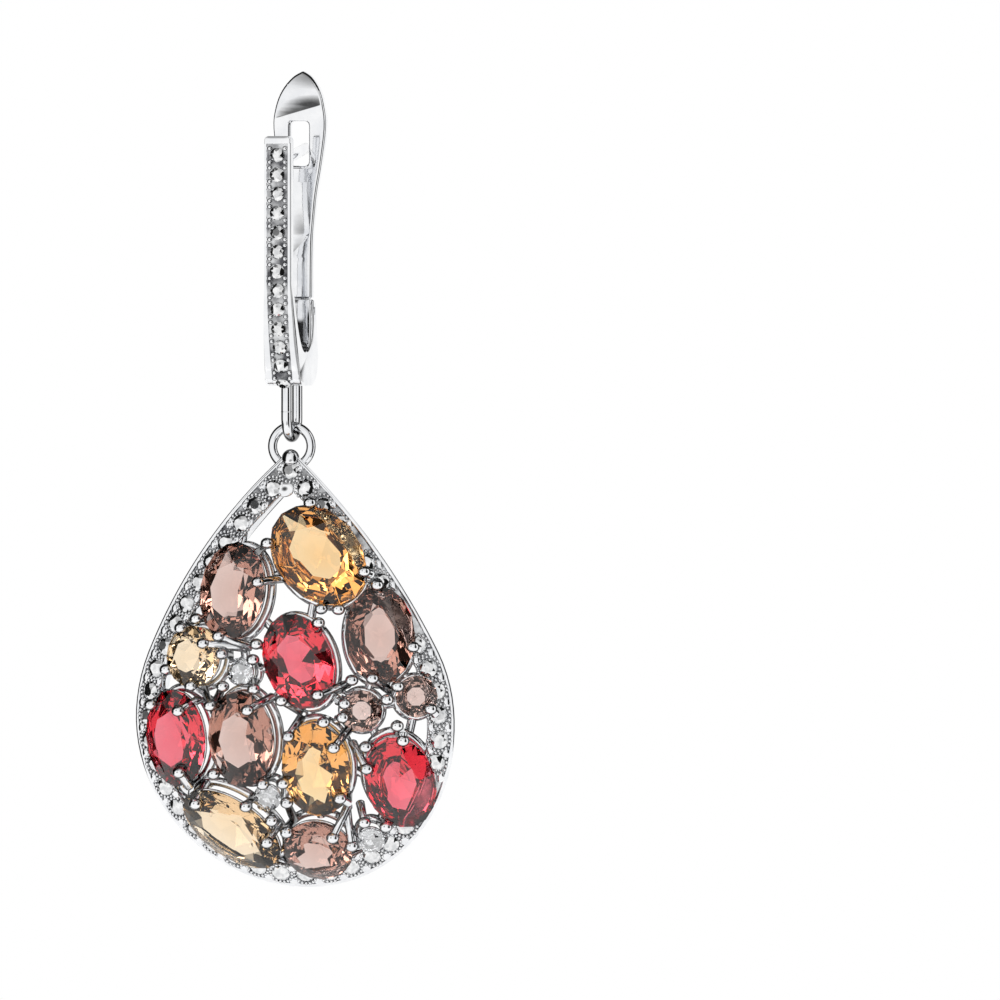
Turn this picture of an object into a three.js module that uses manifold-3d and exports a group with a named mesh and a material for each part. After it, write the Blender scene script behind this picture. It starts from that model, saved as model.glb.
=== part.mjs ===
// A lever-back drop earring: a lock set with small round stones, a jump ring, and a pierced
// drop-shaped pendant of mixed cut stones in claw baskets.
// Millimetres. +Z is up, the face looks along -Y, and the origin is the middle of the ear post.
import * as THREE from "three";
import { ConvexGeometry } from "three/addons/geometries/ConvexGeometry.js";
import { mergeVertices } from "three/addons/utils/BufferGeometryUtils.js";
import Module from "manifold-3d";

const wasm = await Module();
wasm.setup();

// Lock: the front bar, its foot and the ear post
const EAR_GAP = 4.6; // room for the ear lobe, between the bar's back and the lever's front
const BAR_THICKNESS = 0.75;
const BAR_WIDTH = 1.9;
const BAR_ABOVE_POST = 1.5;
const BAR_STRAIGHT = 10.5; // from the bar's top down to where it starts to curve back
const FOOT_DROP = 7.2; // from there down to the foot's underside
const FOOT_WIDTH = 2.6;
const FOOT_SETBACK = 1.25; // how far back the front face has come at the foot
const FOOT_THICKNESS = 2.4; // metal under the notch between bar and lever
const FOOT_FRONT_RADIUS = 0.8;
const FOOT_REAR_RADIUS = 2.2;
const REAR_CORNER_PULL = 0.25; // share of the rear radius at which its curve is drawn to
const NOTCH_REAR_PULL = 0.75; // share of the way back at which the notch's rear curve is drawn to
const NOTCH_FRONT_PULL = 0.7; // the same for its front curve
const BEND_BACK_PULL = 0.1; // share of the foot's setback at which the front curve is drawn to
const BEND_DOWN_PULL = 0.5; // share of the foot's drop at which it is drawn to
const STRIP_WIDTH = 1.55; // raised strip that carries the small stones
const STRIP_RISE = 0.25;
const STRIP_STONE = 1.05;
const STRIP_STONE_COUNT = 13;
const STRIP_MARGIN = 1.35; // from the strip's top to its first stone's centre
const POST_DIAMETER = 0.8;
const POST_PAST_LEVER = 1.0;
const POST_RISE_DEG = 9;

// Lever and its hinge
const LEVER_HEIGHT = 17.0; // from the hinge pin to the tip
const LEVER_HALF_WIDTH = 1.92;
const LEVER_THICKNESS = 0.9;
const LEVER_EDGE = 0.2; // rounding of the lever's edges
const LEVER_NECK_SHARE = 0.5; // half width just above the hinge, as a share
const HINGE_ABOVE_FOOT = 5.3;
const PIN_RADIUS = 0.28;
const PIN_CLEARANCE = 0.07;
const EYE_RADIUS = 0.72;
const TONGUE_WIDTH = 0.9;
const SIDE_CLEARANCE = 0.08;
const SHOULDER_CLEARANCE = 0.15;
const WINDOW_WIDTH = 1.4;
const WINDOW_ABOVE_POST = 2.55;
const WINDOW_BELOW_POST = 0.6;
const WINDOW_ROUND_SHARE = 0.7; // corner rounding as a share of the window's half width

// Lever outline: height above the hinge as a share of its height, half width as a share
const LEVER_SECTIONS = [
  { height: 0.28, halfWidth: 0.52 },
  { height: 0.43, halfWidth: 0.6 },
  { height: 0.51, halfWidth: 0.68 },
  { height: 0.61, halfWidth: 0.83 },
  { height: 0.76, halfWidth: 1.0 },
  { height: 0.85, halfWidth: 0.94 },
  { height: 0.92, halfWidth: 0.74 },
  { height: 0.975, halfWidth: 0.38 },
  { height: 1.0, halfWidth: 0.03 },
];
const LEVER_STEPS = 14;

// Link: the jump ring between lock and drop
const LINK_WIRE = 0.74;
const LINK_DEPTH = 2.8; // between the centres of its front and rear wires
const LINK_HEIGHT = 4.85; // between the centres of its top and bottom wires
const LINK_CENTRE_Y = 0.5;
const CROSS_PIN_RADIUS = 0.35; // pin in the foot that the link hangs on
const CROSS_PIN_SINK = 0.42; // from the foot's underside up to the pin's axis
const HANG_CLEARANCE = 0.07;
const POCKET_SIDE_ROOM = 0.42; // lets the link sway sideways in its pocket
const POCKET_END_ROOM = 0.12;

// Drop: hanging ring and rim band
const RING_RADIUS = 1.42;
const RING_WIRE = 0.66;
const RING_ABOVE_TIP = 0.2; // ring's centre above the rim's pointed top
const DROP_HALF_WIDTH = 11.75;
const DROP_HEIGHT = 31.0;
const SIDE_ARC_RADIUS = 44; // the two arcs that run up to the point
const CREST_FORWARD = 2.05; // the dome's crest in front of the hanging ring
const CREST_DOWN = 17.9; // the crest below the rim's pointed top
const ACROSS_RADIUS = 23; // the dome's curve from side to side
const UPPER_RADIUS = 85; // the dome's curve above the crest
const LOWER_RADIUS = 13.6; // the dome's curve below the crest
const RIM_WIDTH = 2.0;
const RIM_DEPTH = 1.8;
const RIM_PLATE = 0.9; // thickness of the rim's face
const RIM_WALL = 0.7;
const LIP_WIDTH = 0.3;
const LIP_RISE = 0.12;
const RIM_STONE = 1.35;
const RIM_STONE_COUNT = 44;
const TIP_BEAD_RADIUS = 0.62;

// Baskets, claws and bars that hold the main stones
const GIRDLE_LIFT = 0.5; // the stones' girdles in front of the dome
const SEAT_CLEARANCE = 0.07;
const GALLERY_SINK = 0.15; // the baskets' top edge behind the dome
const GALLERY_DEPTH = 0.7;
const BASKET_OVER = 0.3; // the basket's outer edge outside the girdle
const BASKET_BORE = 0.8; // its bore as a share of the girdle
const BASKET_SIDES = 10;
const SMALL_BASKET = 4; // stones up to this length have plainer baskets
const SMALL_BASKET_SIDES = 8;
const CLAW_RADIUS = 0.26;
const CLAW_BALL = 0.47;
const CLAW_UP = 0.14; // the ball's centre above the girdle
const CLAW_SIDES = 5;
const BALL_HEIGHT_SHARE = 0.8; // half the ball's height, as a share of its radius
const BALL_BULGE = 1.05; // the five-sided ball's corners, as a share of its radius
const BALL_TOP_SHARE = 0.5;
const GALLERY_BAR_WIDTH = 0.7;

// Cuts of the main stones, by length and width
const CUTS = {
  grandOval: { length: 8, width: 6 },
  longOval: { length: 8, width: 5 },
  oval: { length: 7, width: 5 },
  fiveRound: { length: 5, width: 5 },
  fourRound: { length: 4.4, width: 4.4 },
  threeRound: { length: 3, width: 3 },
  twoRound: { length: 2, width: 2 },
};
const TABLE_SHARE = 0.56;
const CROWN_SHARE = 0.15; // of the stone's width
const PAVILION_SHARE = 0.4;
const GIRDLE_SHARE = 0.04;
const STAR_REACH = 0.8; // corners of the star facets, out from the middle
const STAR_RISE = 0.56; // and up, as a share of the crown
const HEEL_REACH = 0.3; // where the steep pavilion facets end, out from the middle
const HEEL_DROP = 0.8; // and down, as a share of the pavilion
const TABLE_SIDES = 8;
const GIRDLE_SIDES = 16;
const SMALL_CROWN_SHARE = 0.2; // small stones, of the diameter
const SMALL_BASE_SHARE = 0.7;
const GIRDLE_SINK = 0.05; // small stones' girdles behind the metal's face

// Main stones: across as a share of the half width, down as a share of the height, the turn of
// the long axis and the claws' directions in degrees from +X, seen from the front.
const STONES = [
  { name: "citrine_top", gem: "citrine", cut: "grandOval", across: 0.205, down: 0.245, turn: -47,
    claws: [100, 168, 276, 293, 341] },
  { name: "smoky_left", gem: "smoky", cut: "oval", across: -0.32, down: 0.326, turn: 82,
    claws: [14, 217, 256] },
  { name: "citrine_left", gem: "citrine", cut: "fourRound", across: -0.57, down: 0.475, turn: 0,
    claws: [113, 35, 204, 272, 3] },
  { name: "clear_left", gem: "clear", cut: "twoRound", across: -0.264, down: 0.509, turn: 0,
    claws: [36, 222, 314] },
  { name: "garnet_centre", gem: "garnet", cut: "oval", across: 0.1, down: 0.486, turn: 110,
    claws: [158, 61, 303, 248] },
  { name: "smoky_right", gem: "smoky", cut: "oval", across: 0.575, down: 0.427, turn: 93,
    claws: [94, 341, 239, 261] },
  { name: "smoky_small", gem: "smoky", cut: "threeRound", across: 0.472, down: 0.598, turn: 0,
    claws: [156, 199, 23] },
  { name: "smoky_edge", gem: "smoky", cut: "threeRound", across: 0.784, down: 0.566, turn: 0,
    claws: [153, 317] },
  { name: "garnet_left", gem: "garnet", cut: "oval", across: -0.695, down: 0.658, turn: 90,
    claws: [126, 67, 287] },
  { name: "smoky_mid", gem: "smoky", cut: "oval", across: -0.263, down: 0.66, turn: 90,
    claws: [131, 67, 230] },
  { name: "citrine_centre", gem: "citrine", cut: "oval", across: 0.19, down: 0.728, turn: 90,
    claws: [123, 50, 76, 309, 199, 225] },
  { name: "garnet_right", gem: "garnet", cut: "oval", across: 0.668, down: 0.756, turn: 100,
    claws: [125, 147, 81, 105] },
  { name: "citrine_low", gem: "citrine", cut: "longOval", across: -0.39, down: 0.861, turn: -36,
    claws: [133, 55, 21, 352] },
  { name: "clear_low", gem: "clear", cut: "twoRound", across: -0.131, down: 0.79, turn: 0,
    claws: [94, 290] },
  { name: "smoky_low", gem: "smoky", cut: "fiveRound", across: 0.125, down: 0.908, turn: 0,
    claws: [134, 46, 12] },
  { name: "clear_right", gem: "clear", cut: "twoRound", across: 0.45, down: 0.886, turn: 0,
    claws: [95, 43] },
];

// Soldered bars between neighbouring baskets, and from a basket out to the rim
const BARS = [
  ["citrine_top", "smoky_left"], ["citrine_top", "garnet_centre"], ["citrine_top", "smoky_right"],
  ["smoky_left", "citrine_left"], ["smoky_left", "clear_left"], ["smoky_left", "garnet_centre"],
  ["citrine_left", "clear_left"], ["citrine_left", "garnet_left"], ["clear_left", "garnet_centre"],
  ["clear_left", "smoky_mid"], ["garnet_centre", "smoky_small"], ["garnet_centre", "smoky_mid"],
  ["garnet_centre", "citrine_centre"], ["smoky_right", "smoky_small"], ["smoky_right", "smoky_edge"],
  ["smoky_small", "smoky_edge"], ["smoky_small", "garnet_right"], ["smoky_edge", "garnet_right"],
  ["garnet_left", "smoky_mid"], ["garnet_left", "citrine_low"], ["smoky_mid", "clear_low"],
  ["smoky_small", "citrine_centre"], ["citrine_centre", "garnet_right"],
  ["clear_low", "citrine_centre"], ["clear_low", "citrine_low"], ["citrine_centre", "smoky_low"],
  ["citrine_low", "smoky_low"], ["smoky_low", "clear_right"], ["garnet_right", "clear_right"],
];
const RIM_BARS = [
  ["citrine_top", 100], ["citrine_top", 35], ["smoky_left", 120], ["smoky_left", 190],
  ["citrine_left", 170], ["smoky_right", 60], ["smoky_right", 350], ["smoky_edge", 10],
  ["garnet_left", 120], ["garnet_left", 260], ["citrine_low", 200], ["smoky_low", 270],
  ["clear_right", 300], ["garnet_right", 330],
];

// Steps and sides of the round forms
const CURVE_STEPS = 8;
const PIN_SIDES = 12;
const EYE_SIDES = 16;
const WIRE_SIDES = 6;

const SILVER = { color: 0xd9dadd, roughness: 0.16, metalness: 1.0 };
const GEMS = {
  citrine: { color: 0xe0a23c, roughness: 0.05, metalness: 0.0 },
  smoky: { color: 0x8a6458, roughness: 0.05, metalness: 0.0 },
  garnet: { color: 0xb0182c, roughness: 0.05, metalness: 0.0 },
  clear: { color: 0xeef0f2, roughness: 0.05, metalness: 0.0 },
};

// Places that several pieces share
const barBackY = -EAR_GAP / 2;
const barFrontY = barBackY - BAR_THICKNESS;
const leverFrontY = EAR_GAP / 2;
const leverBackY = leverFrontY + LEVER_THICKNESS;
const bendZ = BAR_ABOVE_POST - BAR_STRAIGHT;
const footZ = bendZ - FOOT_DROP;
const hinge = { y: (leverFrontY + leverBackY) / 2, z: footZ + HINGE_ABOVE_FOOT };
const crossPinZ = footZ + CROSS_PIN_SINK;
const linkTopZ = crossPinZ + CROSS_PIN_RADIUS + HANG_CLEARANCE + LINK_WIRE / 2;
const linkBottomZ = linkTopZ - LINK_HEIGHT;
const ringTopZ = linkBottomZ + LINK_WIRE / 2 + HANG_CLEARANCE + RING_WIRE / 2;
const ringZ = ringTopZ - RING_RADIUS;
const ringY = LINK_CENTRE_Y;
const tipZ = ringZ - RING_ABOVE_TIP;
const dropFloorZ = tipZ - DROP_HEIGHT;
const crest = { y: ringY - CREST_FORWARD, z: tipZ - CREST_DOWN };

const vector = (x, y, z) => new THREE.Vector3(x, y, z);
const radians = THREE.MathUtils.degToRad;
const lerp = THREE.MathUtils.lerp;

// Turns a closed geometry into a solid
function solidOf(geometry) {
  const bare = geometry.clone();
  bare.deleteAttribute("normal");
  bare.deleteAttribute("uv");
  const merged = mergeVertices(bare, 1e-5);
  const vertProperties = new Float32Array(merged.attributes.position.array);
  const triVerts = new Uint32Array(merged.index.array);
  return new wasm.Manifold(new wasm.Mesh({ numProp: 3, vertProperties, triVerts }));
}

// Turns a solid back into a geometry
function geometryOf(solid) {
  const mesh = solid.getMesh();
  const geometry = new THREE.BufferGeometry();
  geometry.setAttribute("position", new THREE.BufferAttribute(mesh.vertProperties, 3));
  geometry.setIndex(new THREE.BufferAttribute(mesh.triVerts, 1));
  geometry.computeVertexNormals();
  return geometry;
}

// Joins a list of solids in pairs
function joined(solids) {
  let round = solids;
  while (round.length > 1) {
    const next = [];
    for (let i = 0; i < round.length; i += 2) {
      next.push(i + 1 < round.length ? round[i].add(round[i + 1]) : round[i]);
    }
    round = next;
  }
  return round[0];
}

// Keeps the one large solid, without crumbs that a cut has freed from it
function withoutCrumbs(solid) {
  return solid.decompose().reduce((best, part) => (part.volume() > best.volume() ? part : best));
}

// Skins a row of rings of points, closed into a loop or capped at both ends
function loft(rings, closed) {
  const count = rings[0].length;
  const corners = rings.flat();
  const index = [];
  const spans = closed ? rings.length : rings.length - 1;
  for (let i = 0; i < spans; i += 1) {
    const near = i * count;
    const far = ((i + 1) % rings.length) * count;
    for (let j = 0; j < count; j += 1) {
      const next = (j + 1) % count;
      index.push(near + j, near + next, far + next);
      index.push(near + j, far + next, far + j);
    }
  }
  if (!closed) {
    const last = (rings.length - 1) * count;
    for (let j = 1; j < count - 1; j += 1) {
      index.push(0, j + 1, j);
      index.push(last, last + j, last + j + 1);
    }
  }
  if (signedVolume(corners, index) < 0) {
    index.reverse();
  }
  const geometry = new THREE.BufferGeometry().setFromPoints(corners);
  geometry.setIndex(index);
  return geometry;
}

function signedVolume(corners, index) {
  let total = 0;
  for (let i = 0; i < index.length; i += 3) {
    const [a, b, c] = [corners[index[i]], corners[index[i + 1]], corners[index[i + 2]]];
    total += a.dot(b.clone().cross(c));
  }
  return total / 6;
}

// Extrudes an outline drawn in side view (Y to the right, Z up) evenly about X = 0
function sideExtrusion(outline, width) {
  const settings = { depth: width, bevelEnabled: false, curveSegments: CURVE_STEPS };
  const geometry = new THREE.ExtrudeGeometry(outline, settings);
  geometry.translate(0, 0, -width / 2);
  const turned = new THREE.Matrix4().makeBasis(vector(0, 1, 0), vector(0, 0, 1), vector(1, 0, 0));
  return geometry.applyMatrix4(turned);
}

function box(low, high) {
  const geometry = new THREE.BoxGeometry(high.x - low.x, high.y - low.y, high.z - low.z);
  return geometry.translate((low.x + high.x) / 2, (low.y + high.y) / 2, (low.z + high.z) / 2);
}

function pinAlongX(radius, width, y, z, sides) {
  const geometry = new THREE.CylinderGeometry(radius, radius, width, sides);
  geometry.rotateZ(Math.PI / 2);
  return geometry.translate(0, y, z);
}

// A bar of even section from one point to another
function rod(start, end, startRadius, endRadius, sides) {
  const length = start.distanceTo(end);
  const geometry = new THREE.CylinderGeometry(endRadius, startRadius, length, sides);
  const along = end.clone().sub(start).normalize();
  const turn = new THREE.Quaternion().setFromUnitVectors(vector(0, 1, 0), along);
  geometry.applyQuaternion(turn);
  const middle = start.clone().add(end).multiplyScalar(0.5);
  return geometry.translate(middle.x, middle.y, middle.z);
}

// The front face of the lock in side view, from its top down and round under the foot
function lockFrontPath(y) {
  const footFrontY = y + FOOT_SETBACK;
  const path = new THREE.Path();
  path.moveTo(y, BAR_ABOVE_POST);
  path.lineTo(y, bendZ);
  path.quadraticCurveTo(
    y + FOOT_SETBACK * BEND_BACK_PULL,
    bendZ - FOOT_DROP * BEND_DOWN_PULL,
    footFrontY,
    footZ + FOOT_FRONT_RADIUS,
  );
  path.quadraticCurveTo(footFrontY, footZ, footFrontY + FOOT_FRONT_RADIUS, footZ);
  return path;
}

// Half the lock's width as a share of the bar's, wider towards the foot
function lockFlare(z) {
  const down = Math.max(0, (bendZ - z) / FOOT_DROP);
  return lerp(1, FOOT_WIDTH / BAR_WIDTH, down);
}

function flared(geometry) {
  const place = geometry.attributes.position;
  for (let i = 0; i < place.count; i += 1) {
    place.setX(i, place.getX(i) * lockFlare(place.getZ(i)));
  }
  return geometry;
}

function lockBody() {
  const notchZ = footZ + FOOT_THICKNESS;
  const outline = new THREE.Shape(lockFrontPath(barFrontY).getPoints(CURVE_STEPS));
  outline.lineTo(leverBackY - FOOT_REAR_RADIUS, footZ);
  outline.quadraticCurveTo(
    leverBackY - FOOT_REAR_RADIUS * REAR_CORNER_PULL,
    footZ,
    leverBackY,
    footZ + FOOT_REAR_RADIUS,
  );
  outline.lineTo(leverBackY, hinge.z);
  outline.lineTo(leverFrontY, hinge.z);
  outline.quadraticCurveTo(leverFrontY * NOTCH_REAR_PULL, notchZ, 0, notchZ);
  outline.quadraticCurveTo(barBackY * NOTCH_FRONT_PULL, notchZ, barBackY, bendZ);
  outline.lineTo(barBackY, BAR_ABOVE_POST);
  return flared(sideExtrusion(outline, BAR_WIDTH));
}

// The raised strip that follows the front face
function lockStrip() {
  const outside = lockFrontPath(barFrontY - STRIP_RISE).getPoints(CURVE_STEPS);
  const inside = lockFrontPath(barFrontY + STRIP_RISE).getPoints(CURVE_STEPS);
  for (const point of inside) {
    point.y = Math.max(point.y, footZ + STRIP_RISE);
  }
  return sideExtrusion(new THREE.Shape([...outside, ...inside.reverse()]), STRIP_WIDTH);
}

// A low faceted stone, sunk into the metal that holds it
function smallStone(diameter, sunk) {
  const crown = diameter * SMALL_CROWN_SHARE;
  const radius = diameter / 2;
  const geometry = new THREE.CylinderGeometry(radius * TABLE_SHARE, radius, crown, TABLE_SIDES);
  const base = new THREE.CylinderGeometry(radius, radius * SMALL_BASE_SHARE, sunk, TABLE_SIDES);
  base.translate(0, -(crown + sunk) / 2, 0);
  const points = [...pointsOf(geometry), ...pointsOf(base)];
  return new ConvexGeometry(points).rotateX(Math.PI / 2).translate(0, 0, crown / 2 - GIRDLE_SINK);
}

function pointsOf(geometry) {
  const place = geometry.attributes.position;
  return Array.from({ length: place.count }, (_, i) => vector(0, 0, 0).fromBufferAttribute(place, i));
}

function stripStones() {
  const path = lockFrontPath(barFrontY - STRIP_RISE);
  const length = path.getLength();
  const stones = [];
  for (let i = 0; i < STRIP_STONE_COUNT; i += 1) {
    const walk = lerp(STRIP_MARGIN, length - STRIP_STONE / 2, i / (STRIP_STONE_COUNT - 1));
    const along = walk / length;
    const at = path.getPointAt(along);
    const way = path.getTangentAt(along);
    const down = vector(0, way.x, way.y);
    const out = vector(1, 0, 0).cross(down).negate();
    const frame = new THREE.Matrix4().makeBasis(out.clone().cross(down).negate(), down, out);
    frame.setPosition(0, at.x, at.y);
    stones.push(solidOf(smallStone(STRIP_STONE, STRIP_RISE).applyMatrix4(frame)));
  }
  return stones;
}

function earPost() {
  const rise = radians(POST_RISE_DEG);
  const along = vector(0, Math.cos(rise), Math.sin(rise));
  const start = along.clone().multiplyScalar(barBackY - BAR_THICKNESS / 2);
  const end = along.clone().multiplyScalar(leverBackY + POST_PAST_LEVER);
  const tip = along.clone().multiplyScalar(leverBackY + POST_PAST_LEVER + POST_DIAMETER / 4);
  const shaft = rod(start, end, POST_DIAMETER / 2, POST_DIAMETER / 2, PIN_SIDES);
  const nose = rod(end, tip, POST_DIAMETER / 2, POST_DIAMETER / 4, PIN_SIDES);
  return solidOf(new ConvexGeometry([...pointsOf(shaft), ...pointsOf(nose)]));
}

function lockFront() {
  const slotHalf = TONGUE_WIDTH / 2 + SIDE_CLEARANCE;
  const eyeRoom = EYE_RADIUS + SIDE_CLEARANCE;
  const hingeWidth = BAR_WIDTH * lockFlare(hinge.z);
  const pocketHalf = LINK_WIRE / 2 + POCKET_SIDE_ROOM;
  const pocketReach = (LINK_DEPTH + LINK_WIRE) / 2 + POCKET_END_ROOM;
  const pocketTop = linkTopZ + LINK_WIRE / 2 + HANG_CLEARANCE * 2;
  const knuckleWidth = hingeWidth - SIDE_CLEARANCE * 2;
  const knuckle = pinAlongX(EYE_RADIUS, knuckleWidth, hinge.y, hinge.z, EYE_SIDES);
  const solid = joined([solidOf(lockBody()), solidOf(knuckle), solidOf(lockStrip())]);
  const tongueSlot = box(
    vector(-slotHalf, hinge.y - eyeRoom, hinge.z - eyeRoom),
    vector(slotHalf, hinge.y + eyeRoom, hinge.z + eyeRoom),
  );
  const pocket = box(
    vector(-pocketHalf, LINK_CENTRE_Y - pocketReach, footZ - BAR_THICKNESS),
    vector(pocketHalf, LINK_CENTRE_Y + pocketReach, pocketTop),
  );
  const hollowed = solid.subtract(solidOf(tongueSlot)).subtract(solidOf(pocket));
  const pin = pinAlongX(PIN_RADIUS, (TONGUE_WIDTH + hingeWidth) / 2, hinge.y, hinge.z, PIN_SIDES);
  const crossPin = pinAlongX(CROSS_PIN_RADIUS, BAR_WIDTH, LINK_CENTRE_Y, crossPinZ, PIN_SIDES);
  return joined([hollowed, solidOf(pin), solidOf(crossPin), earPost(), ...stripStones()]);
}

function leverOutline() {
  const shoulderZ = hinge.z + EYE_RADIUS + SHOULDER_CLEARANCE;
  const neckHalf = LEVER_HALF_WIDTH * LEVER_NECK_SHARE;
  const rows = LEVER_SECTIONS.map((row) =>
    new THREE.Vector2(row.halfWidth * LEVER_HALF_WIDTH, hinge.z + row.height * LEVER_HEIGHT));
  const side = new THREE.SplineCurve([new THREE.Vector2(neckHalf, shoulderZ), ...rows]);
  const right = side.getPoints(LEVER_STEPS);
  const left = right.map((point) => new THREE.Vector2(-point.x, point.y)).reverse();
  return new THREE.Shape([...right, ...left]);
}

function windowHole() {
  const half = WINDOW_WIDTH / 2;
  const round = half * WINDOW_ROUND_SHARE;
  const hole = new THREE.Path();
  hole.moveTo(-half, -WINDOW_BELOW_POST + round);
  hole.lineTo(-half, WINDOW_ABOVE_POST - round);
  hole.quadraticCurveTo(-half, WINDOW_ABOVE_POST, -half + round, WINDOW_ABOVE_POST);
  hole.lineTo(half - round, WINDOW_ABOVE_POST);
  hole.quadraticCurveTo(half, WINDOW_ABOVE_POST, half, WINDOW_ABOVE_POST - round);
  hole.lineTo(half, -WINDOW_BELOW_POST + round);
  hole.quadraticCurveTo(half, -WINDOW_BELOW_POST, half - round, -WINDOW_BELOW_POST);
  hole.lineTo(-half + round, -WINDOW_BELOW_POST);
  hole.quadraticCurveTo(-half, -WINDOW_BELOW_POST, -half, -WINDOW_BELOW_POST + round);
  return hole;
}

function lever() {
  const outline = leverOutline();
  outline.holes.push(windowHole());
  const blade = new THREE.ExtrudeGeometry(outline, {
    depth: LEVER_THICKNESS - LEVER_EDGE * 2,
    bevelThickness: LEVER_EDGE,
    bevelSize: LEVER_EDGE,
    bevelOffset: -LEVER_EDGE,
    bevelSegments: 1,
    curveSegments: CURVE_STEPS / 2,
  });
  blade.rotateX(Math.PI / 2).translate(0, leverBackY - LEVER_EDGE, 0);
  const shoulderZ = hinge.z + EYE_RADIUS + SHOULDER_CLEARANCE;
  const tongue = box(
    vector(-TONGUE_WIDTH / 2, leverFrontY, hinge.z),
    vector(TONGUE_WIDTH / 2, leverBackY, shoulderZ + LEVER_THICKNESS),
  );
  const eye = pinAlongX(EYE_RADIUS, TONGUE_WIDTH, hinge.y, hinge.z, EYE_SIDES);
  const bore = pinAlongX(PIN_RADIUS + PIN_CLEARANCE, TONGUE_WIDTH * 2, hinge.y, hinge.z, PIN_SIDES);
  return joined([solidOf(blade), solidOf(tongue), solidOf(eye)]).subtract(solidOf(bore));
}

// Round wire bent into an upright oval in side view
function link() {
  const bend = LINK_DEPTH / 2;
  const straight = LINK_HEIGHT - LINK_DEPTH;
  const middleZ = (linkTopZ + linkBottomZ) / 2;
  const rings = [];
  for (const end of [1, -1]) {
    for (let i = 0; i <= CURVE_STEPS; i += 1) {
      const angle = Math.PI * (i / CURVE_STEPS) + (end < 0 ? Math.PI : 0);
      const out = vector(0, Math.cos(angle), Math.sin(angle));
      const centre = vector(0, LINK_CENTRE_Y, middleZ + end * straight / 2);
      centre.addScaledVector(out, bend);
      rings.push(circle(centre, out, vector(1, 0, 0), LINK_WIRE / 2, WIRE_SIDES));
    }
  }
  return solidOf(loft(rings, true));
}

function circle(centre, first, second, radius, sides) {
  return Array.from({ length: sides }, (_, i) => {
    const angle = (2 * Math.PI * (i + 0.5)) / sides;
    return centre.clone()
      .addScaledVector(first, radius * Math.cos(angle))
      .addScaledVector(second, radius * Math.sin(angle));
  });
}

// How far the drop's dome has fallen back from its crest
function domeFall(x, z) {
  const above = z - crest.z;
  const radius = above > 0 ? UPPER_RADIUS : LOWER_RADIUS;
  return (x * x) / (2 * ACROSS_RADIUS) + (above * above) / (2 * radius);
}

function domeSlope(x, z) {
  const above = z - crest.z;
  return { x: x / ACROSS_RADIUS, z: above / (above > 0 ? UPPER_RADIUS : LOWER_RADIUS) };
}

function domeNormal(x, z) {
  const slope = domeSlope(x, z);
  return vector(slope.x, -1, slope.z).normalize();
}

function domePoint(x, z, lift) {
  return vector(x, crest.y + domeFall(x, z), z).addScaledVector(domeNormal(x, z), lift);
}

// A frame on the dome: its third axis leaves the dome, its first is turned from +X
function domeFrame(x, z, lift, turnDeg) {
  const out = domeNormal(x, z);
  const right = vector(1, 0, 0).addScaledVector(out, -out.x).normalize();
  const up = out.clone().cross(right);
  const turn = radians(turnDeg);
  const first = right.clone().multiplyScalar(Math.cos(turn)).addScaledVector(up, Math.sin(turn));
  const frame = new THREE.Matrix4().makeBasis(first, out.clone().cross(first), out);
  return frame.setPosition(domePoint(x, z, lift));
}

// The drop's outline: a round bottom and two long arcs to a point, moved inwards by an inset.
// The share runs from the point down the right side, round the bottom and back up.
const roundZ = dropFloorZ + DROP_HALF_WIDTH;
const pointRise = tipZ - roundZ;
const arcShift = SIDE_ARC_RADIUS - DROP_HALF_WIDTH;
const arcDown = (pointRise ** 2 + arcShift ** 2 - SIDE_ARC_RADIUS ** 2) / (2 * pointRise);
const arcAcross = Math.sqrt(arcShift ** 2 - arcDown ** 2);
const meetAngle = Math.atan2(-arcDown, arcAcross);
const pointAngle = Math.acos(arcAcross / SIDE_ARC_RADIUS);
const sideLength = SIDE_ARC_RADIUS * (pointAngle - meetAngle);
const roundLength = DROP_HALF_WIDTH * (Math.PI + 2 * meetAngle);
const sideShare = sideLength / (2 * sideLength + roundLength);

function outlinePoint(share, inset) {
  const mirrored = share > 0.5;
  const walk = mirrored ? 1 - share : share;
  const point = new THREE.Vector2();
  if (walk < sideShare) {
    const radius = SIDE_ARC_RADIUS - inset;
    const angle = lerp(Math.acos(arcAcross / radius), meetAngle, walk / sideShare);
    point.set(radius * Math.cos(angle) - arcAcross, roundZ + arcDown + radius * Math.sin(angle));
  } else {
    const radius = DROP_HALF_WIDTH - inset;
    const angle = lerp(meetAngle, -Math.PI / 2, (walk - sideShare) / (0.5 - sideShare));
    point.set(radius * Math.cos(angle), roundZ + radius * Math.sin(angle));
  }
  if (mirrored) {
    point.x = -point.x;
  }
  return point;
}

// A point of the outline moved inwards along the dome's surface
function rimPlace(share, inset) {
  const edge = outlinePoint(share, 0);
  const inward = outlinePoint(share, 1).sub(edge);
  const slope = domeSlope(edge.x, edge.y);
  const steepness = (slope.x * inward.x + slope.z * inward.y) / inward.length();
  return edge.addScaledVector(inward, inset / Math.sqrt(1 + steepness ** 2));
}

function rimBand() {
  const section = [
    { inset: 0, lift: -RIM_DEPTH },
    { inset: 0, lift: LIP_RISE },
    { inset: LIP_WIDTH, lift: LIP_RISE },
    { inset: LIP_WIDTH, lift: 0 },
    { inset: RIM_WIDTH, lift: 0 },
    { inset: RIM_WIDTH, lift: -RIM_PLATE },
    { inset: RIM_WALL, lift: -RIM_PLATE },
    { inset: RIM_WALL, lift: -RIM_DEPTH },
  ];
  const between = Array.from({ length: RIM_STONE_COUNT }, (_, i) => (i + 0.5) / RIM_STONE_COUNT);
  const rings = [0, ...between].map((share) => section.map((corner) => {
    const at = rimPlace(share, corner.inset);
    return domePoint(at.x, at.y, corner.lift);
  }));
  return solidOf(loft(rings, true));
}

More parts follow.
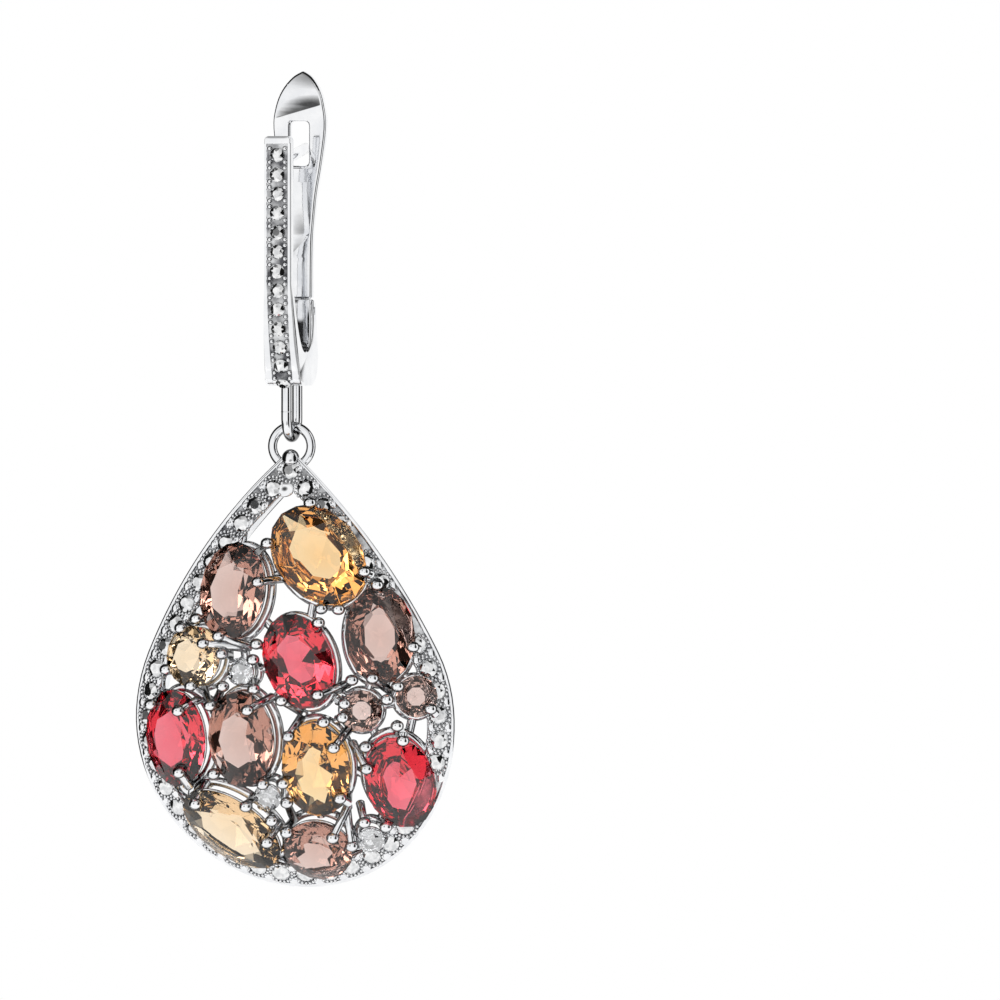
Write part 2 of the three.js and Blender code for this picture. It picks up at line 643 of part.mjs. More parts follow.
function rimStones() {
  const stones = [];
  for (let i = 0; i < RIM_STONE_COUNT; i += 1) {
    const at = rimPlace(i / RIM_STONE_COUNT, (RIM_WIDTH + LIP_WIDTH) / 2);
    const frame = domeFrame(at.x, at.y, 0, 0);
    stones.push(solidOf(smallStone(RIM_STONE, RIM_PLATE / 2).applyMatrix4(frame)));
  }
  return stones;
}

function hangingRing() {
  const ring = new THREE.TorusGeometry(RING_RADIUS, RING_WIRE / 2, WIRE_SIDES, EYE_SIDES);
  return solidOf(ring.rotateX(Math.PI / 2).translate(0, ringY, ringZ));
}

// The faceted bead that covers the solder of ring and rim
function tipBead() {
  const place = domePoint(0, tipZ - TIP_BEAD_RADIUS, 0);
  const bead = new THREE.SphereGeometry(TIP_BEAD_RADIUS, TABLE_SIDES, WIRE_SIDES);
  return solidOf(bead.translate(place.x, place.y, place.z));
}

// A round or oval brilliant: table, star, kite and girdle facets over a pointed pavilion
function brilliant(cut, spare) {
  const half = { x: cut.length / 2 + spare, y: cut.width / 2 + spare };
  const crown = cut.width * CROWN_SHARE + spare;
  const girdle = cut.width * GIRDLE_SHARE + spare;
  const pavilion = cut.width * PAVILION_SHARE + spare;
  const level = (sides, shift, share, height) => Array.from({ length: sides }, (_, i) => {
    const angle = (2 * Math.PI * (i + shift)) / sides;
    return vector(half.x * share * Math.cos(angle), half.y * share * Math.sin(angle), height);
  });
  return new ConvexGeometry([
    ...level(TABLE_SIDES, 0, TABLE_SHARE, crown),
    ...level(TABLE_SIDES, 0.5, STAR_REACH, crown * STAR_RISE),
    ...level(GIRDLE_SIDES, 0, 1, girdle / 2),
    ...level(GIRDLE_SIDES, 0, 1, -girdle / 2),
    ...level(TABLE_SIDES, 0.5, HEEL_REACH, -pavilion * HEEL_DROP),
    vector(0, 0, -pavilion),
  ]);
}

function stonePlace(stone) {
  return new THREE.Vector2(stone.across * DROP_HALF_WIDTH, tipZ - stone.down * DROP_HEIGHT);
}

function stoneFrame(stone) {
  const at = stonePlace(stone);
  return domeFrame(at.x, at.y, GIRDLE_LIFT, stone.turn);
}

// The point of a stone's girdle in a direction seen from the front, moved out and up
function girdlePoint(stone, directionDeg, scale, out, up) {
  const half = { x: CUTS[stone.cut].length / 2, y: CUTS[stone.cut].width / 2 };
  const angle = radians(directionDeg - stone.turn);
  const reach = (half.x * half.y) / Math.hypot(half.y * Math.cos(angle), half.x * Math.sin(angle));
  const radius = reach * scale + out;
  const point = vector(radius * Math.cos(angle), radius * Math.sin(angle), up);
  return point.applyMatrix4(stoneFrame(stone));
}

// A flat slab with a given plan in X and Z, its Y standing for the depth behind the dome
function slab(plan, top, bottom) {
  const rings = [top, bottom].map((depth) => plan.map((at) => vector(at.x, depth, at.y)));
  return solidOf(loft(rings, false));
}

// Bends a flat slab onto the dome
function ontoDome(solid) {
  const geometry = geometryOf(solid);
  const place = geometry.attributes.position;
  for (let i = 0; i < place.count; i += 1) {
    const bent = domePoint(place.getX(i), place.getZ(i), -place.getY(i));
    place.setXYZ(i, bent.x, bent.y, bent.z);
  }
  return solidOf(geometry);
}

// The plan of an oval parallel to a stone's girdle, as seen from the front
function ovalPlan(stone, scale, out) {
  const sides = CUTS[stone.cut].length > SMALL_BASKET ? BASKET_SIDES : SMALL_BASKET_SIDES;
  return Array.from({ length: sides }, (_, i) => {
    const point = girdlePoint(stone, (360 * i) / sides + stone.turn, scale, out, -GIRDLE_LIFT);
    return new THREE.Vector2(point.x, point.z);
  });
}

function barPlan(start, end) {
  const side = end.clone().sub(start).normalize().multiplyScalar(GALLERY_BAR_WIDTH / 2);
  side.set(-side.y, side.x);
  const back = side.clone().negate();
  return [[start, side], [end, side], [end, back], [start, back]].map(([at, step]) => at.clone().add(step));
}

// The middle of the rim band that lies in a direction from a stone
function rimTowards(stone, directionDeg) {
  const from = stonePlace(stone);
  const steps = RIM_STONE_COUNT * CURVE_STEPS;
  const places = Array.from({ length: steps }, (_, i) => rimPlace(i / steps, RIM_WIDTH / 2));
  const miss = (place) => {
    const way = THREE.MathUtils.radToDeg(place.clone().sub(from).angle());
    return Math.abs(THREE.MathUtils.euclideanModulo(way - directionDeg + 180, 360) - 180);
  };
  return places.reduce((best, place) => (miss(place) < miss(best) ? place : best));
}

// The baskets' walls and the bars between them, pierced right through
function gallery(byName) {
  const front = GALLERY_SINK;
  const back = GALLERY_SINK + GALLERY_DEPTH;
  const walls = STONES.map((stone) => slab(ovalPlan(stone, 1, BASKET_OVER), front, back));
  const bars = BARS.map(([first, second]) =>
    slab(barPlan(stonePlace(byName[first]), stonePlace(byName[second])), front, back));
  const rimBars = RIM_BARS.map(([name, direction]) =>
    slab(barPlan(stonePlace(byName[name]), rimTowards(byName[name], direction)), front, back));
  const bores = STONES.map((stone) => slab(ovalPlan(stone, BASKET_BORE, 0), front - 1, back + 1));
  return ontoDome(joined([...walls, ...bars, ...rimBars]).subtract(joined(bores)));
}

// A claw: a stem that rises from the basket's wall beside the girdle and ends in a ball over it
function claw(stone, directionDeg) {
  const out = CLAW_RADIUS + SEAT_CLEARANCE;
  const below = girdlePoint(stone, directionDeg, 1, out, -GIRDLE_LIFT);
  const foot = domePoint(below.x, below.z, -GALLERY_SINK - GALLERY_DEPTH / 2);
  const ball = girdlePoint(stone, directionDeg, 1, out, CLAW_UP);
  const along = ball.clone().sub(foot).normalize();
  const side = along.clone().cross(vector(0, 0, 1)).normalize();
  const other = along.clone().cross(side);
  const profile = [
    { from: foot, step: 0, radius: CLAW_RADIUS },
    { from: ball, step: -CLAW_BALL * BALL_HEIGHT_SHARE, radius: CLAW_RADIUS },
    { from: ball, step: 0, radius: CLAW_BALL * BALL_BULGE },
    { from: ball, step: CLAW_BALL * BALL_HEIGHT_SHARE, radius: CLAW_BALL * BALL_TOP_SHARE },
  ];
  const rings = profile.map(({ from, step, radius }) =>
    circle(from.clone().addScaledVector(along, step), side, other, radius, CLAW_SIDES));
  return solidOf(loft(rings, false));
}

function dropSetting() {
  const byName = Object.fromEntries(STONES.map((stone) => [stone.name, stone]));
  const metal = joined([
    rimBand(),
    ...rimStones(),
    hangingRing(),
    tipBead(),
    gallery(byName),
    ...STONES.flatMap((stone) => stone.claws.map((direction) => claw(stone, direction))),
  ]);
  const seats = joined(STONES.map((stone) =>
    solidOf(brilliant(CUTS[stone.cut], SEAT_CLEARANCE).applyMatrix4(stoneFrame(stone)))));
  return withoutCrumbs(metal.subtract(seats));
}

function piece(name, geometry, finish) {
  const material = new THREE.MeshStandardMaterial({ ...finish, flatShading: true });
  const mesh = new THREE.Mesh(geometry, material);
  mesh.name = name;
  return mesh;
}

function mainStone(stone) {
  const mesh = piece(stone.name, brilliant(CUTS[stone.cut], 0), GEMS[stone.gem]);
  mesh.applyMatrix4(stoneFrame(stone));
  return mesh;
}

const drop = new THREE.Group();
drop.add(piece("drop_setting", geometryOf(dropSetting()), SILVER));
drop.add(...STONES.map(mainStone));

const earring = new THREE.Group();
earring.add(piece("lock_front", geometryOf(lockFront()), SILVER));
earring.add(piece("lever", geometryOf(lever()), SILVER));
earring.add(piece("link", geometryOf(link()), SILVER));
earring.add(drop);

export default earring;
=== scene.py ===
"""Looks of a lever-back drop earring: a lock set with small stones, a link and a pierced drop.

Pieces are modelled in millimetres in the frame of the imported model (+Z up, the face along -Y, the
origin in the middle of the ear post) and brought to metres when they are finished.
"""

import logging
import math
from contextlib import contextmanager
from dataclasses import dataclass
from enum import Enum
from itertools import pairwise
from typing import Callable, Iterator, Sequence

import bmesh
import bpy
from mathutils import Matrix, Vector


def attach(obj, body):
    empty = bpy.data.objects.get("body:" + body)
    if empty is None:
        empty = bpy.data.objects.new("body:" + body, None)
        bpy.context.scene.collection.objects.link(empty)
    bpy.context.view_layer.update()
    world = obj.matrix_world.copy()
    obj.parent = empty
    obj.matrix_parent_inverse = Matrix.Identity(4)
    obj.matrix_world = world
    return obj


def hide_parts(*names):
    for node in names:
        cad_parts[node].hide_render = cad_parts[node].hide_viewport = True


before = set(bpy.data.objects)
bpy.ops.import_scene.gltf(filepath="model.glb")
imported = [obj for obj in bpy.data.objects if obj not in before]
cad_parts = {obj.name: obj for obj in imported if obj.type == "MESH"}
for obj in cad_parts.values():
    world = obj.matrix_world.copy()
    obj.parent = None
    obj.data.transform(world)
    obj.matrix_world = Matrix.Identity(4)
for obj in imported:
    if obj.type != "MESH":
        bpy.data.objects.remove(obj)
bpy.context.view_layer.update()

LOG = logging.getLogger("earring")
MM = 0.001
Piece = bpy.types.Object

# Edges that turn less than this many degrees are shaded smooth
CRISP = 40.0
SOFT = 60.0
FACETED = 0.0

# Steps that a curve of an outline is drawn in
CURVE_STEPS = 12


class Body(str, Enum):
    """Bodies of the earring that pieces ride on."""

    LOCK = "lock"
    LEVER = "back_lever"
    LINK = "jump_link"
    DROP = "drop"


class Slot(str, Enum):
    """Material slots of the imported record."""

    SILVER = "silver"
    CITRINE = "citrine"
    SMOKY = "smoky_quartz"
    GARNET = "garnet"
    CLEAR = "clear_stone"


class Pick(Enum):
    """Kinds of mesh element that can be chosen in edit mode."""

    VERT = "VERT"
    EDGE = "EDGE"
    FACE = "FACE"


# Modelling by hand in edit mode


def rest() -> None:
    """Leaves edit mode and deselects everything."""
    active = bpy.context.view_layer.objects.active
    if active is not None and active.mode != "OBJECT":
        bpy.ops.object.mode_set(mode="OBJECT")
    bpy.ops.object.select_all(action="DESELECT")


def take(piece: Piece) -> None:
    """Makes a piece the only selected one, and the active one.

    Args:
        piece: The piece to select.
    """
    rest()
    piece.select_set(True)
    bpy.context.view_layer.objects.active = piece


@contextmanager
def editing(piece: Piece, pick: Pick = Pick.VERT) -> Iterator[None]:
    """Opens a piece in edit mode with everything selected, and closes it afterwards.

    Args:
        piece: The piece to edit.
        pick: The kind of element that operators work on.
    """
    take(piece)
    bpy.ops.object.mode_set(mode="EDIT")
    bpy.ops.mesh.select_mode(type=pick.value)
    bpy.ops.mesh.select_all(action="SELECT")
    yield
    bpy.ops.object.mode_set(mode="OBJECT")


def choose(piece: Piece, pick: Pick, wanted: Callable[[Vector], bool]) -> None:
    """Selects the elements of a piece in edit mode whose middle passes a test.

    Args:
        piece: The piece that is open in edit mode.
        pick: The kind of element to select.
        wanted: The test on an element's middle.
    """
    bpy.ops.mesh.select_mode(type=pick.value)
    bpy.ops.mesh.select_all(action="DESELECT")
    mesh = bmesh.from_edit_mesh(piece.data)
    if pick is Pick.VERT:
        for vert in mesh.verts:
            vert.select_set(wanted(vert.co))
    elif pick is Pick.EDGE:
        for edge in mesh.edges:
            edge.select_set(wanted((edge.verts[0].co + edge.verts[1].co) / 2))
    else:
        for face in mesh.faces:
            face.select_set(wanted(face.calc_center_median()))
    mesh.select_flush_mode()
    bmesh.update_edit_mesh(piece.data)


def named(name: str) -> Piece:
    """Names the active object and its mesh, and returns it.

    Args:
        name: The new name.

    Returns:
        The named piece.
    """
    piece = bpy.context.view_layer.objects.active
    piece.name = name
    piece.data.name = name
    return piece


def finish_with(piece: Piece, kind: str, **settings: object) -> None:
    """Adds a modifier to a piece and applies it.

    Args:
        piece: The piece to finish.
        kind: The modifier's type.
        **settings: The modifier's settings.
    """
    take(piece)
    modifier = piece.modifiers.new(kind.lower(), kind)
    for key, value in settings.items():
        setattr(modifier, key, value)
    bpy.ops.object.modifier_apply(modifier=modifier.name)


def rounded(piece: Piece, radius: float, segments: int = 3, sharper_than: float = 35.0) -> None:
    """Rounds a piece's sharp edges.

    Args:
        piece: The piece to finish.
        radius: The rounding in millimetres.
        segments: The number of steps round the edge.
        sharper_than: The smallest turn of an edge in degrees that is rounded.
    """
    finish_with(
        piece, "BEVEL", width=radius, segments=segments, limit_method="ANGLE",
        angle_limit=math.radians(sharper_than), use_clamp_overlap=True,
    )


def cut(piece: Piece, tool: Piece, way: str = "DIFFERENCE") -> None:
    """Cuts a piece with a tool, or joins the two, and removes the tool."""
    finish_with(piece, "BOOLEAN", operation=way, object=tool, solver="EXACT")
    bpy.data.objects.remove(tool)


def outwards(piece: Piece, merge: float = 0.0) -> None:
    """Merges doubles and points all faces outwards.

    Args:
        piece: The piece to clean.
        merge: The distance in millimetres within which vertices merge, or 0.
    """
    with editing(piece):
        if merge > 0:
            bpy.ops.mesh.remove_doubles(threshold=merge)
        bpy.ops.mesh.normals_make_consistent(inside=False)


def traced(name: str, corners: Sequence[Vector]) -> Piece:
    """Draws a chain of edges corner by corner.

    Args:
        name: The new piece's name.
        corners: The chain's corners in order.

    Returns:
        A piece of loose edges.
    """
    rest()
    bpy.ops.mesh.primitive_plane_add(size=0.1, location=corners[0])
    piece = named(name)
    bpy.ops.object.transform_apply(location=True)
    with editing(piece):
        bpy.ops.mesh.merge(type="CENTER")
        for before, after in pairwise(corners):
            step = {"value": tuple(after - before)}
            bpy.ops.mesh.extrude_region_move(TRANSFORM_OT_translate=step)
    return piece


def drawn(name: str, corners: Sequence[Vector]) -> Piece:
    """Draws a closed outline and fills it with a face.

    Args:
        name: The new piece's name.
        corners: The outline's corners in order.

    Returns:
        A piece with one face.
    """
    piece = traced(name, corners)
    ends = {tuple(round(c, 4) for c in corner) for corner in (corners[0], corners[-1])}
    with editing(piece):
        bpy.ops.mesh.remove_doubles(threshold=1e-5)
        choose(piece, Pick.VERT, lambda at: tuple(round(c, 4) for c in at) in ends)
        bpy.ops.mesh.edge_face_add()
        bpy.ops.mesh.select_all(action="SELECT")
        bpy.ops.mesh.edge_face_add()
    return piece


def extruded(piece: Piece, step: Vector) -> None:
    """Pulls a drawn outline out into a solid.

    Args:
        piece: The piece with the outline.
        step: How far it is pulled, and which way.
    """
    with editing(piece, Pick.FACE):
        bpy.ops.mesh.extrude_region_move(TRANSFORM_OT_translate={"value": tuple(step)})
    outwards(piece)


def placed_by(piece: Piece, rule: Callable[[Vector], Vector]) -> None:
    """Moves every vertex of a piece to where a rule puts it.

    Args:
        piece: The piece to reshape.
        rule: Gives a vertex's new place for its old one.
    """
    for vertex in piece.data.vertices:
        vertex.co = rule(vertex.co.copy())
    piece.data.update()


def swept(
    name: str,
    section: Sequence[tuple[float, float]],
    steps: int,
    path: Callable[[float, float, float], Vector],
    closed: bool,
) -> Piece:
    """Draws a section, pulls it out into a bar and lays the bar along a path.

    Args:
        name: The new piece's name.
        section: The corners of the section, each across and up.
        steps: The number of lengths that the bar is divided into.
        path: Gives the place of a share along, a distance across and a distance up.
        closed: Whether the path closes on itself.

    Returns:
        The swept piece.
    """
    piece = drawn(name, [Vector((0, across, up)) for across, up in section])
    extruded(piece, Vector((1, 0, 0)))
    with editing(piece, Pick.EDGE):
        choose(piece, Pick.EDGE, lambda at: 0.4 < at.x < 0.6)
        bpy.ops.mesh.subdivide(number_cuts=steps - 1)
        if closed:
            choose(piece, Pick.FACE, lambda at: at.x < 1e-6 or at.x > 1 - 1e-6)
            bpy.ops.mesh.delete(type="ONLY_FACE")
    placed_by(piece, lambda at: path(at.x, at.y, at.z))
    outwards(piece, 1e-3)
    return piece


def round_section(radius: float, sides: int) -> list[tuple[float, float]]:
    """Gives the corners of a round wire's section."""
    turns = [2 * math.pi * i / sides for i in range(sides)]
    return [(radius * math.cos(turn), radius * math.sin(turn)) for turn in turns]


def turned(name: str, profile: Sequence[tuple[float, float]], steps: int) -> Piece:
    """Spins a half profile round the Z axis.

    Args:
        name: The new piece's name.
        profile: Radius and height of each corner, from the axis out and back to it.
        steps: The number of steps round the axis.

    Returns:
        The turned piece.
    """
    piece = traced(name, [Vector((radius, 0, height)) for radius, height in profile])
    with editing(piece):
        bpy.ops.mesh.spin(steps=steps, angle=2 * math.pi, center=(0, 0, 0), axis=(0, 0, 1))
    outwards(piece, 1e-3)
    return piece


def repeated(name: str, model: Piece, places: Sequence[Matrix]) -> Piece:
    """Copies a model to each place, each copy with its own mesh, and joins the copies.

    Args:
        name: The new piece's name.
        model: The model, which is removed afterwards.
        places: Where each copy goes.

    Returns:
        The joined piece.
    """
    copies = []
    for place in places:
        twin = model.copy()
        twin.data = model.data.copy()
        twin.data.transform(place)
        bpy.context.collection.objects.link(twin)
        copies.append(twin)
    bpy.data.objects.remove(model)
    return joined(name, copies)


def joined(name: str, parts: Sequence[Piece]) -> Piece:
    """Joins pieces into one.

    Args:
        name: The new piece's name.
        parts: The pieces to join.

    Returns:
        The joined piece.
    """
    rest()
    for part in parts:
        part.select_set(True)
    bpy.context.view_layer.objects.active = parts[0]
    if len(parts) > 1:
        bpy.ops.object.join()
    return named(name)


def between(start: Vector, end: Vector, stretch: bool = True) -> Matrix:
    """Gives the place of a model that stands on Z from 0 to 1, laid from start to end.

    Args:
        start: Where the model's foot goes.
        end: Where its head points.
        stretch: Whether the model is stretched to reach the end.

    Returns:
        The model's place.
    """
    way = end - start
    turn = way.to_track_quat("Z", "Y").to_matrix().to_4x4()
    size = Matrix.Diagonal((1, 1, way.length if stretch else 1, 1))
    return Matrix.Translation(start) @ turn @ size


def sphere(
    name: str, radius: float, segments: int, rings: int, middle: Sequence[float] = (0, 0, 0),
) -> Piece:
    """Makes a sphere round a point.

    Args:
        name: The new piece's name.
        radius: The sphere's radius.
        segments: The number of steps round it.
        rings: The number of steps from pole to pole.
        middle: The sphere's middle.

    Returns:
        The sphere.
    """
    rest()
    bpy.ops.mesh.primitive_uv_sphere_add(
        segments=segments, ring_count=rings, radius=radius, location=middle)
    ball = named(name)
    bpy.ops.object.transform_apply(location=True)
    return ball


def wire_ring(
    name: str, middle: Sequence[float], radius: float, wire: float, steps: tuple[int, int],
    turn: Sequence[float] = (0, 0, 0),
) -> Piece:
    """Bends round wire into a ring, which lies level unless it is turned.

    Args:
        name: The new piece's name.
        middle: The ring's middle.
        radius: The radius of the wire's middle line.
        wire: The wire's radius.
        steps: The number of steps round the ring and round the wire.
        turn: The ring's turn about each axis in radians.

    Returns:
        The ring.
    """
    rest()
    bpy.ops.mesh.primitive_torus_add(
        location=middle, rotation=turn, major_segments=steps[0], minor_segments=steps[1],
        major_radius=radius, minor_radius=wire)
    ring = named(name)
    bpy.ops.object.transform_apply(location=True, rotation=True)
    return ring


def block(middle: Vector, half: Vector, radius: float = 0.0) -> Piece:
    """Makes a block round a point, with rounded edges.

    Args:
        middle: The block's middle.
        half: Half its size each way.
        radius: The rounding of its edges.

    Returns:
        The block.
    """
    rest()
    bpy.ops.mesh.primitive_cube_add(size=2, location=middle, scale=half)
    piece = named("block")
    bpy.ops.object.transform_apply(location=True, scale=True)
    if radius > 0:
        rounded(piece, radius)
    return piece


def cylinder_x(radius: float, width: float, middle: Vector, edge: float = 0.0) -> Piece:
    """Makes a cylinder along X.

    Args:
        radius: The cylinder's radius.
        width: Its size across.
        middle: Its middle.
        edge: The rounding of its rims.

    Returns:
        The cylinder.
    """
    rest()
    bpy.ops.mesh.primitive_cylinder_add(
        vertices=48, radius=radius, depth=width, location=middle, rotation=(0, math.pi / 2, 0))
    piece = named("pin")
    bpy.ops.object.transform_apply(location=True, rotation=True)
    if edge > 0:
        rounded(piece, edge, sharper_than=60)
    return piece


def beside(y: float, z: float) -> Vector:
    """A point of the side view."""
    return Vector((0, y, z))


def bezier(start: Vector, control: Vector, end: Vector, steps: int = CURVE_STEPS) -> list[Vector]:
    """Draws a quadratic curve.

    Args:
        start: The curve's first point.
        control: The point that it is drawn towards.
        end: The curve's last point.
        steps: The number of steps.

    Returns:
        The points after the first.
    """
    shares = [i / steps for i in range(1, steps + 1)]
    return [start * (1 - t) ** 2 + control * 2 * t * (1 - t) + end * t**2 for t in shares]


def smooth_through(rows: Sequence[Vector], steps: int) -> list[Vector]:
    """Draws a smooth curve through points.

    Args:
        rows: The points to pass.
        steps: The number of steps between neighbouring points.

    Returns:
        The points of the curve.
    """
    points = []
    padded = [rows[0], *rows, rows[-1]]
    for before, start, end, after in zip(padded, padded[1:], padded[2:], padded[3:]):
        for step in range(steps):
            t = step / steps
            points.append(
                (start * 2 + (end - before) * t + (before * 2 - start * 5 + end * 4 - after) * t**2
                 + (start * 3 - before - end * 3 + after) * t**3) / 2)
    return [*points, rows[-1]]


def done(
    piece: Piece, finish: "Finish", body: Body, slot: Slot, nodes: Sequence[str],
    smooth: float = CRISP,
) -> None:
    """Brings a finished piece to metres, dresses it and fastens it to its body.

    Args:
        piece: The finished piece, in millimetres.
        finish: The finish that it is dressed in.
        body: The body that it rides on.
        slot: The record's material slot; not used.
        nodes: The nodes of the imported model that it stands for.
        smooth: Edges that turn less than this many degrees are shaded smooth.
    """
    take(piece)
    bpy.ops.object.transform_apply(location=True, rotation=True, scale=True)
    piece.scale = (MM, MM, MM)
    bpy.ops.object.transform_apply(scale=True)
    if smooth == FACETED:
        bpy.ops.object.shade_flat()
    else:
        bpy.ops.object.shade_smooth_by_angle(angle=math.radians(smooth))
    piece.data.materials.clear()
    piece.data.materials.append(finish.material())
    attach(piece, body.value)
    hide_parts(*nodes)
    LOG.info("%s rides on %s with %d faces", piece.name, body.value, len(piece.data.polygons))


# Finishes


@dataclass(frozen=True)
class Finish:
    """A surface finish, made once and shared by the pieces that wear it."""

    name: str

    def material(self) -> bpy.types.Material:
        """Returns the finish's material, made on the first call.

        Returns:
            The material.
        """
        made = bpy.data.materials.get(self.name)
        if made is None:
            made = bpy.data.materials.new(self.name)
            made.use_nodes = True
            self.dress(made.node_tree)
        return made

    def dress(self, tree: bpy.types.NodeTree) -> None:
        """Builds the finish's nodes."""
        raise NotImplementedError

    @staticmethod
    def noise(tree: bpy.types.NodeTree, scale: float, detail: float) -> bpy.types.NodeSocket:
        """Adds noise over the piece's own coordinates and returns its value.

        Args:
            tree: The material's node tree.
            scale: Noise waves in a metre.
            detail: Octaves of finer noise.

        Returns:
            The noise's output socket.
        """
        place = tree.nodes.new("ShaderNodeTexCoord")
        noise = tree.nodes.new("ShaderNodeTexNoise")
        noise.inputs["Scale"].default_value = scale
        noise.inputs["Detail"].default_value = detail
        tree.links.new(place.outputs["Object"], noise.inputs["Vector"])
        return noise.outputs["Fac"]

    @staticmethod
    def ramp(
        tree: bpy.types.NodeTree, value: bpy.types.NodeSocket, low: Sequence[float],
        high: Sequence[float], start: float = 0.35, end: float = 0.65,
    ) -> bpy.types.NodeSocket:
        """Turns a value into a colour between two and returns it.

        Args:
            tree: The material's node tree.
            value: The socket that drives the colour.
            low: Colour up to the start.
            high: Colour from the end on.
            start: Value where the change begins.
            end: Value where the change ends.

        Returns:
            The ramp's colour socket.
        """
        ramp = tree.nodes.new("ShaderNodeValToRGB")
        ramp.color_ramp.elements[0].position = start
        ramp.color_ramp.elements[0].color = (*low, 1)
        ramp.color_ramp.elements[1].position = end
        ramp.color_ramp.elements[1].color = (*high, 1)
        tree.links.new(value, ramp.inputs["Fac"])
        return ramp.outputs["Color"]


@dataclass(frozen=True)
class PolishedSilver(Finish):
    """Rhodium-bright silver with faint polishing haze, hairline waves and painted shade on edges
    that turn away.
    """

    bright: tuple[float, float, float] = (0.93, 0.935, 0.945)
    hazy: tuple[float, float, float] = (0.84, 0.85, 0.87)
    smoothest: float = 0.03
    roughest: float = 0.09
    wave: float = 0.02
    # Painted shade: the share of the colour left where the surface turns away from the view
    edge: float = 1.0
    painted_shade_facing: tuple[float, float] = (0.3, 0.55)
    haze_scale: float = 900
    grain_scale: float = 5000
    wave_scale: float = 1500
    wave_height: float = MM / 10

    def dress(self, tree: bpy.types.NodeTree) -> None:
        """Builds the metal: haze, shallow polishing waves and painted shade darkening edges that
        turn away.

        Args:
            tree: The material's node tree.
        """
        shader = tree.nodes["Principled BSDF"]
        shader.inputs["Metallic"].default_value = 1.0
        haze = self.noise(tree, self.haze_scale, 3)
        # Painted shade: the colour darkens where the surface turns away from the view
        facing = tree.nodes.new("ShaderNodeLayerWeight")
        shade = self.ramp(
            tree, facing.outputs["Facing"], [1.0] * 3, [self.edge] * 3, *self.painted_shade_facing)
        tint = tree.nodes.new("ShaderNodeVectorMath")
        tint.operation = "MULTIPLY"
        tree.links.new(self.ramp(tree, haze, self.hazy, self.bright), tint.inputs[0])
        tree.links.new(shade, tint.inputs[1])
        tree.links.new(tint.outputs["Vector"], shader.inputs["Base Color"])
        grain = self.noise(tree, self.grain_scale, 2)
        gloss = self.ramp(tree, grain, [self.smoothest] * 3, [self.roughest] * 3)
        tree.links.new(gloss, shader.inputs["Roughness"])
        bump = tree.nodes.new("ShaderNodeBump")
        bump.inputs["Strength"].default_value = self.wave
        bump.inputs["Distance"].default_value = self.wave_height
        tree.links.new(self.noise(tree, self.wave_scale, 1), bump.inputs["Height"])
        tree.links.new(bump.outputs["Normal"], shader.inputs["Normal"])


@dataclass(frozen=True)
class CutGem(Finish):
    """A clear cut stone whose colour deepens with the way the light takes through it."""

    pale: tuple[float, float, float]
    deep: tuple[float, float, float]
    absorbs: tuple[float, float, float]
    density: float
    bends: float
    mirror: float = 0.0
    zone_scale: float = 350

    def dress(self, tree: bpy.types.NodeTree) -> None:
        """Builds the stone: faint colour zones, refraction and absorption.

        Args:
            tree: The material's node tree.
        """
        shader = tree.nodes["Principled BSDF"]
        shader.inputs["Transmission Weight"].default_value = 1.0
        shader.inputs["Metallic"].default_value = self.mirror
        shader.inputs["IOR"].default_value = self.bends
        shader.inputs["Roughness"].default_value = 0.0
        zones = self.noise(tree, self.zone_scale, 2)
        tree.links.new(self.ramp(tree, zones, self.pale, self.deep), shader.inputs["Base Color"])
        if self.density > 0:
            inside = tree.nodes.new("ShaderNodeVolumeAbsorption")
            inside.inputs["Color"].default_value = (*self.absorbs, 1)
            inside.inputs["Density"].default_value = self.density
            output = tree.nodes["Material Output"]
            tree.links.new(inside.outputs["Volume"], output.inputs["Volume"])


SILVER = PolishedSilver("rhodium_silver")
# Wire and bright-cut grains keep little of their colour where they turn away: painted shade
EDGE_SHADED_WIRE = PolishedSilver("drawn_silver_edge_shaded", edge=0.06)
EDGE_SHADED_BRIGHT_CUT = PolishedSilver("bright_cut_silver_edge_shaded", roughest=0.05, wave=0.06, edge=0.06)
# Painted shade: the sunk floors between small stones are dark, mottled from nearly black to light
# grey
MATT_FLOOR_PAINTED_SHADE = PolishedSilver(
    "pricked_floor_painted_shade", (0.75, 0.76, 0.77), (0.1, 0.1, 0.11), smoothest=0.25, roughest=0.4, wave=0.9)
SMALL_STONE = CutGem(
    "clear_brilliants", pale=(0.7, 0.71, 0.72), deep=(1, 1, 1), absorbs=(1, 1, 1), density=0,
    bends=2.1, mirror=0.92, zone_scale=3000)


class Gem(Enum):
    """The drop's stones, each with its slot and its finish."""

    CITRINE = (Slot.CITRINE, CutGem(
        "cut_citrine", (1.0, 0.93, 0.72), (1.0, 0.88, 0.6), (1.0, 0.62, 0.1), 260, 1.6))
    PALE_CITRINE = (Slot.CITRINE, CutGem(
        "cut_pale_citrine", (0.99, 0.9, 0.76), (0.97, 0.85, 0.66), (0.97, 0.7, 0.32), 170, 1.6))
    SMOKY = (Slot.SMOKY, CutGem(
        "cut_smoky_quartz", (0.9, 0.8, 0.78), (0.84, 0.73, 0.7), (0.74, 0.46, 0.34), 330, 1.6))
    GARNET = (Slot.GARNET, CutGem(
        "cut_garnet", (0.96, 0.34, 0.42), (0.9, 0.24, 0.32), (0.95, 0.04, 0.12), 300, 1.7))
    CLEAR = (Slot.CLEAR, CutGem(
        "cut_clear_stone", (0.98, 0.985, 0.99), (0.94, 0.95, 0.97), (1, 1, 1), 0, 2.1, 0.35))

    @property
    def slot(self) -> Slot:
        """The record's material slot."""
        return self.value[0]

    @property
    def finish(self) -> CutGem:
        """The stone's finish."""
        return self.value[1]


# Cut stones


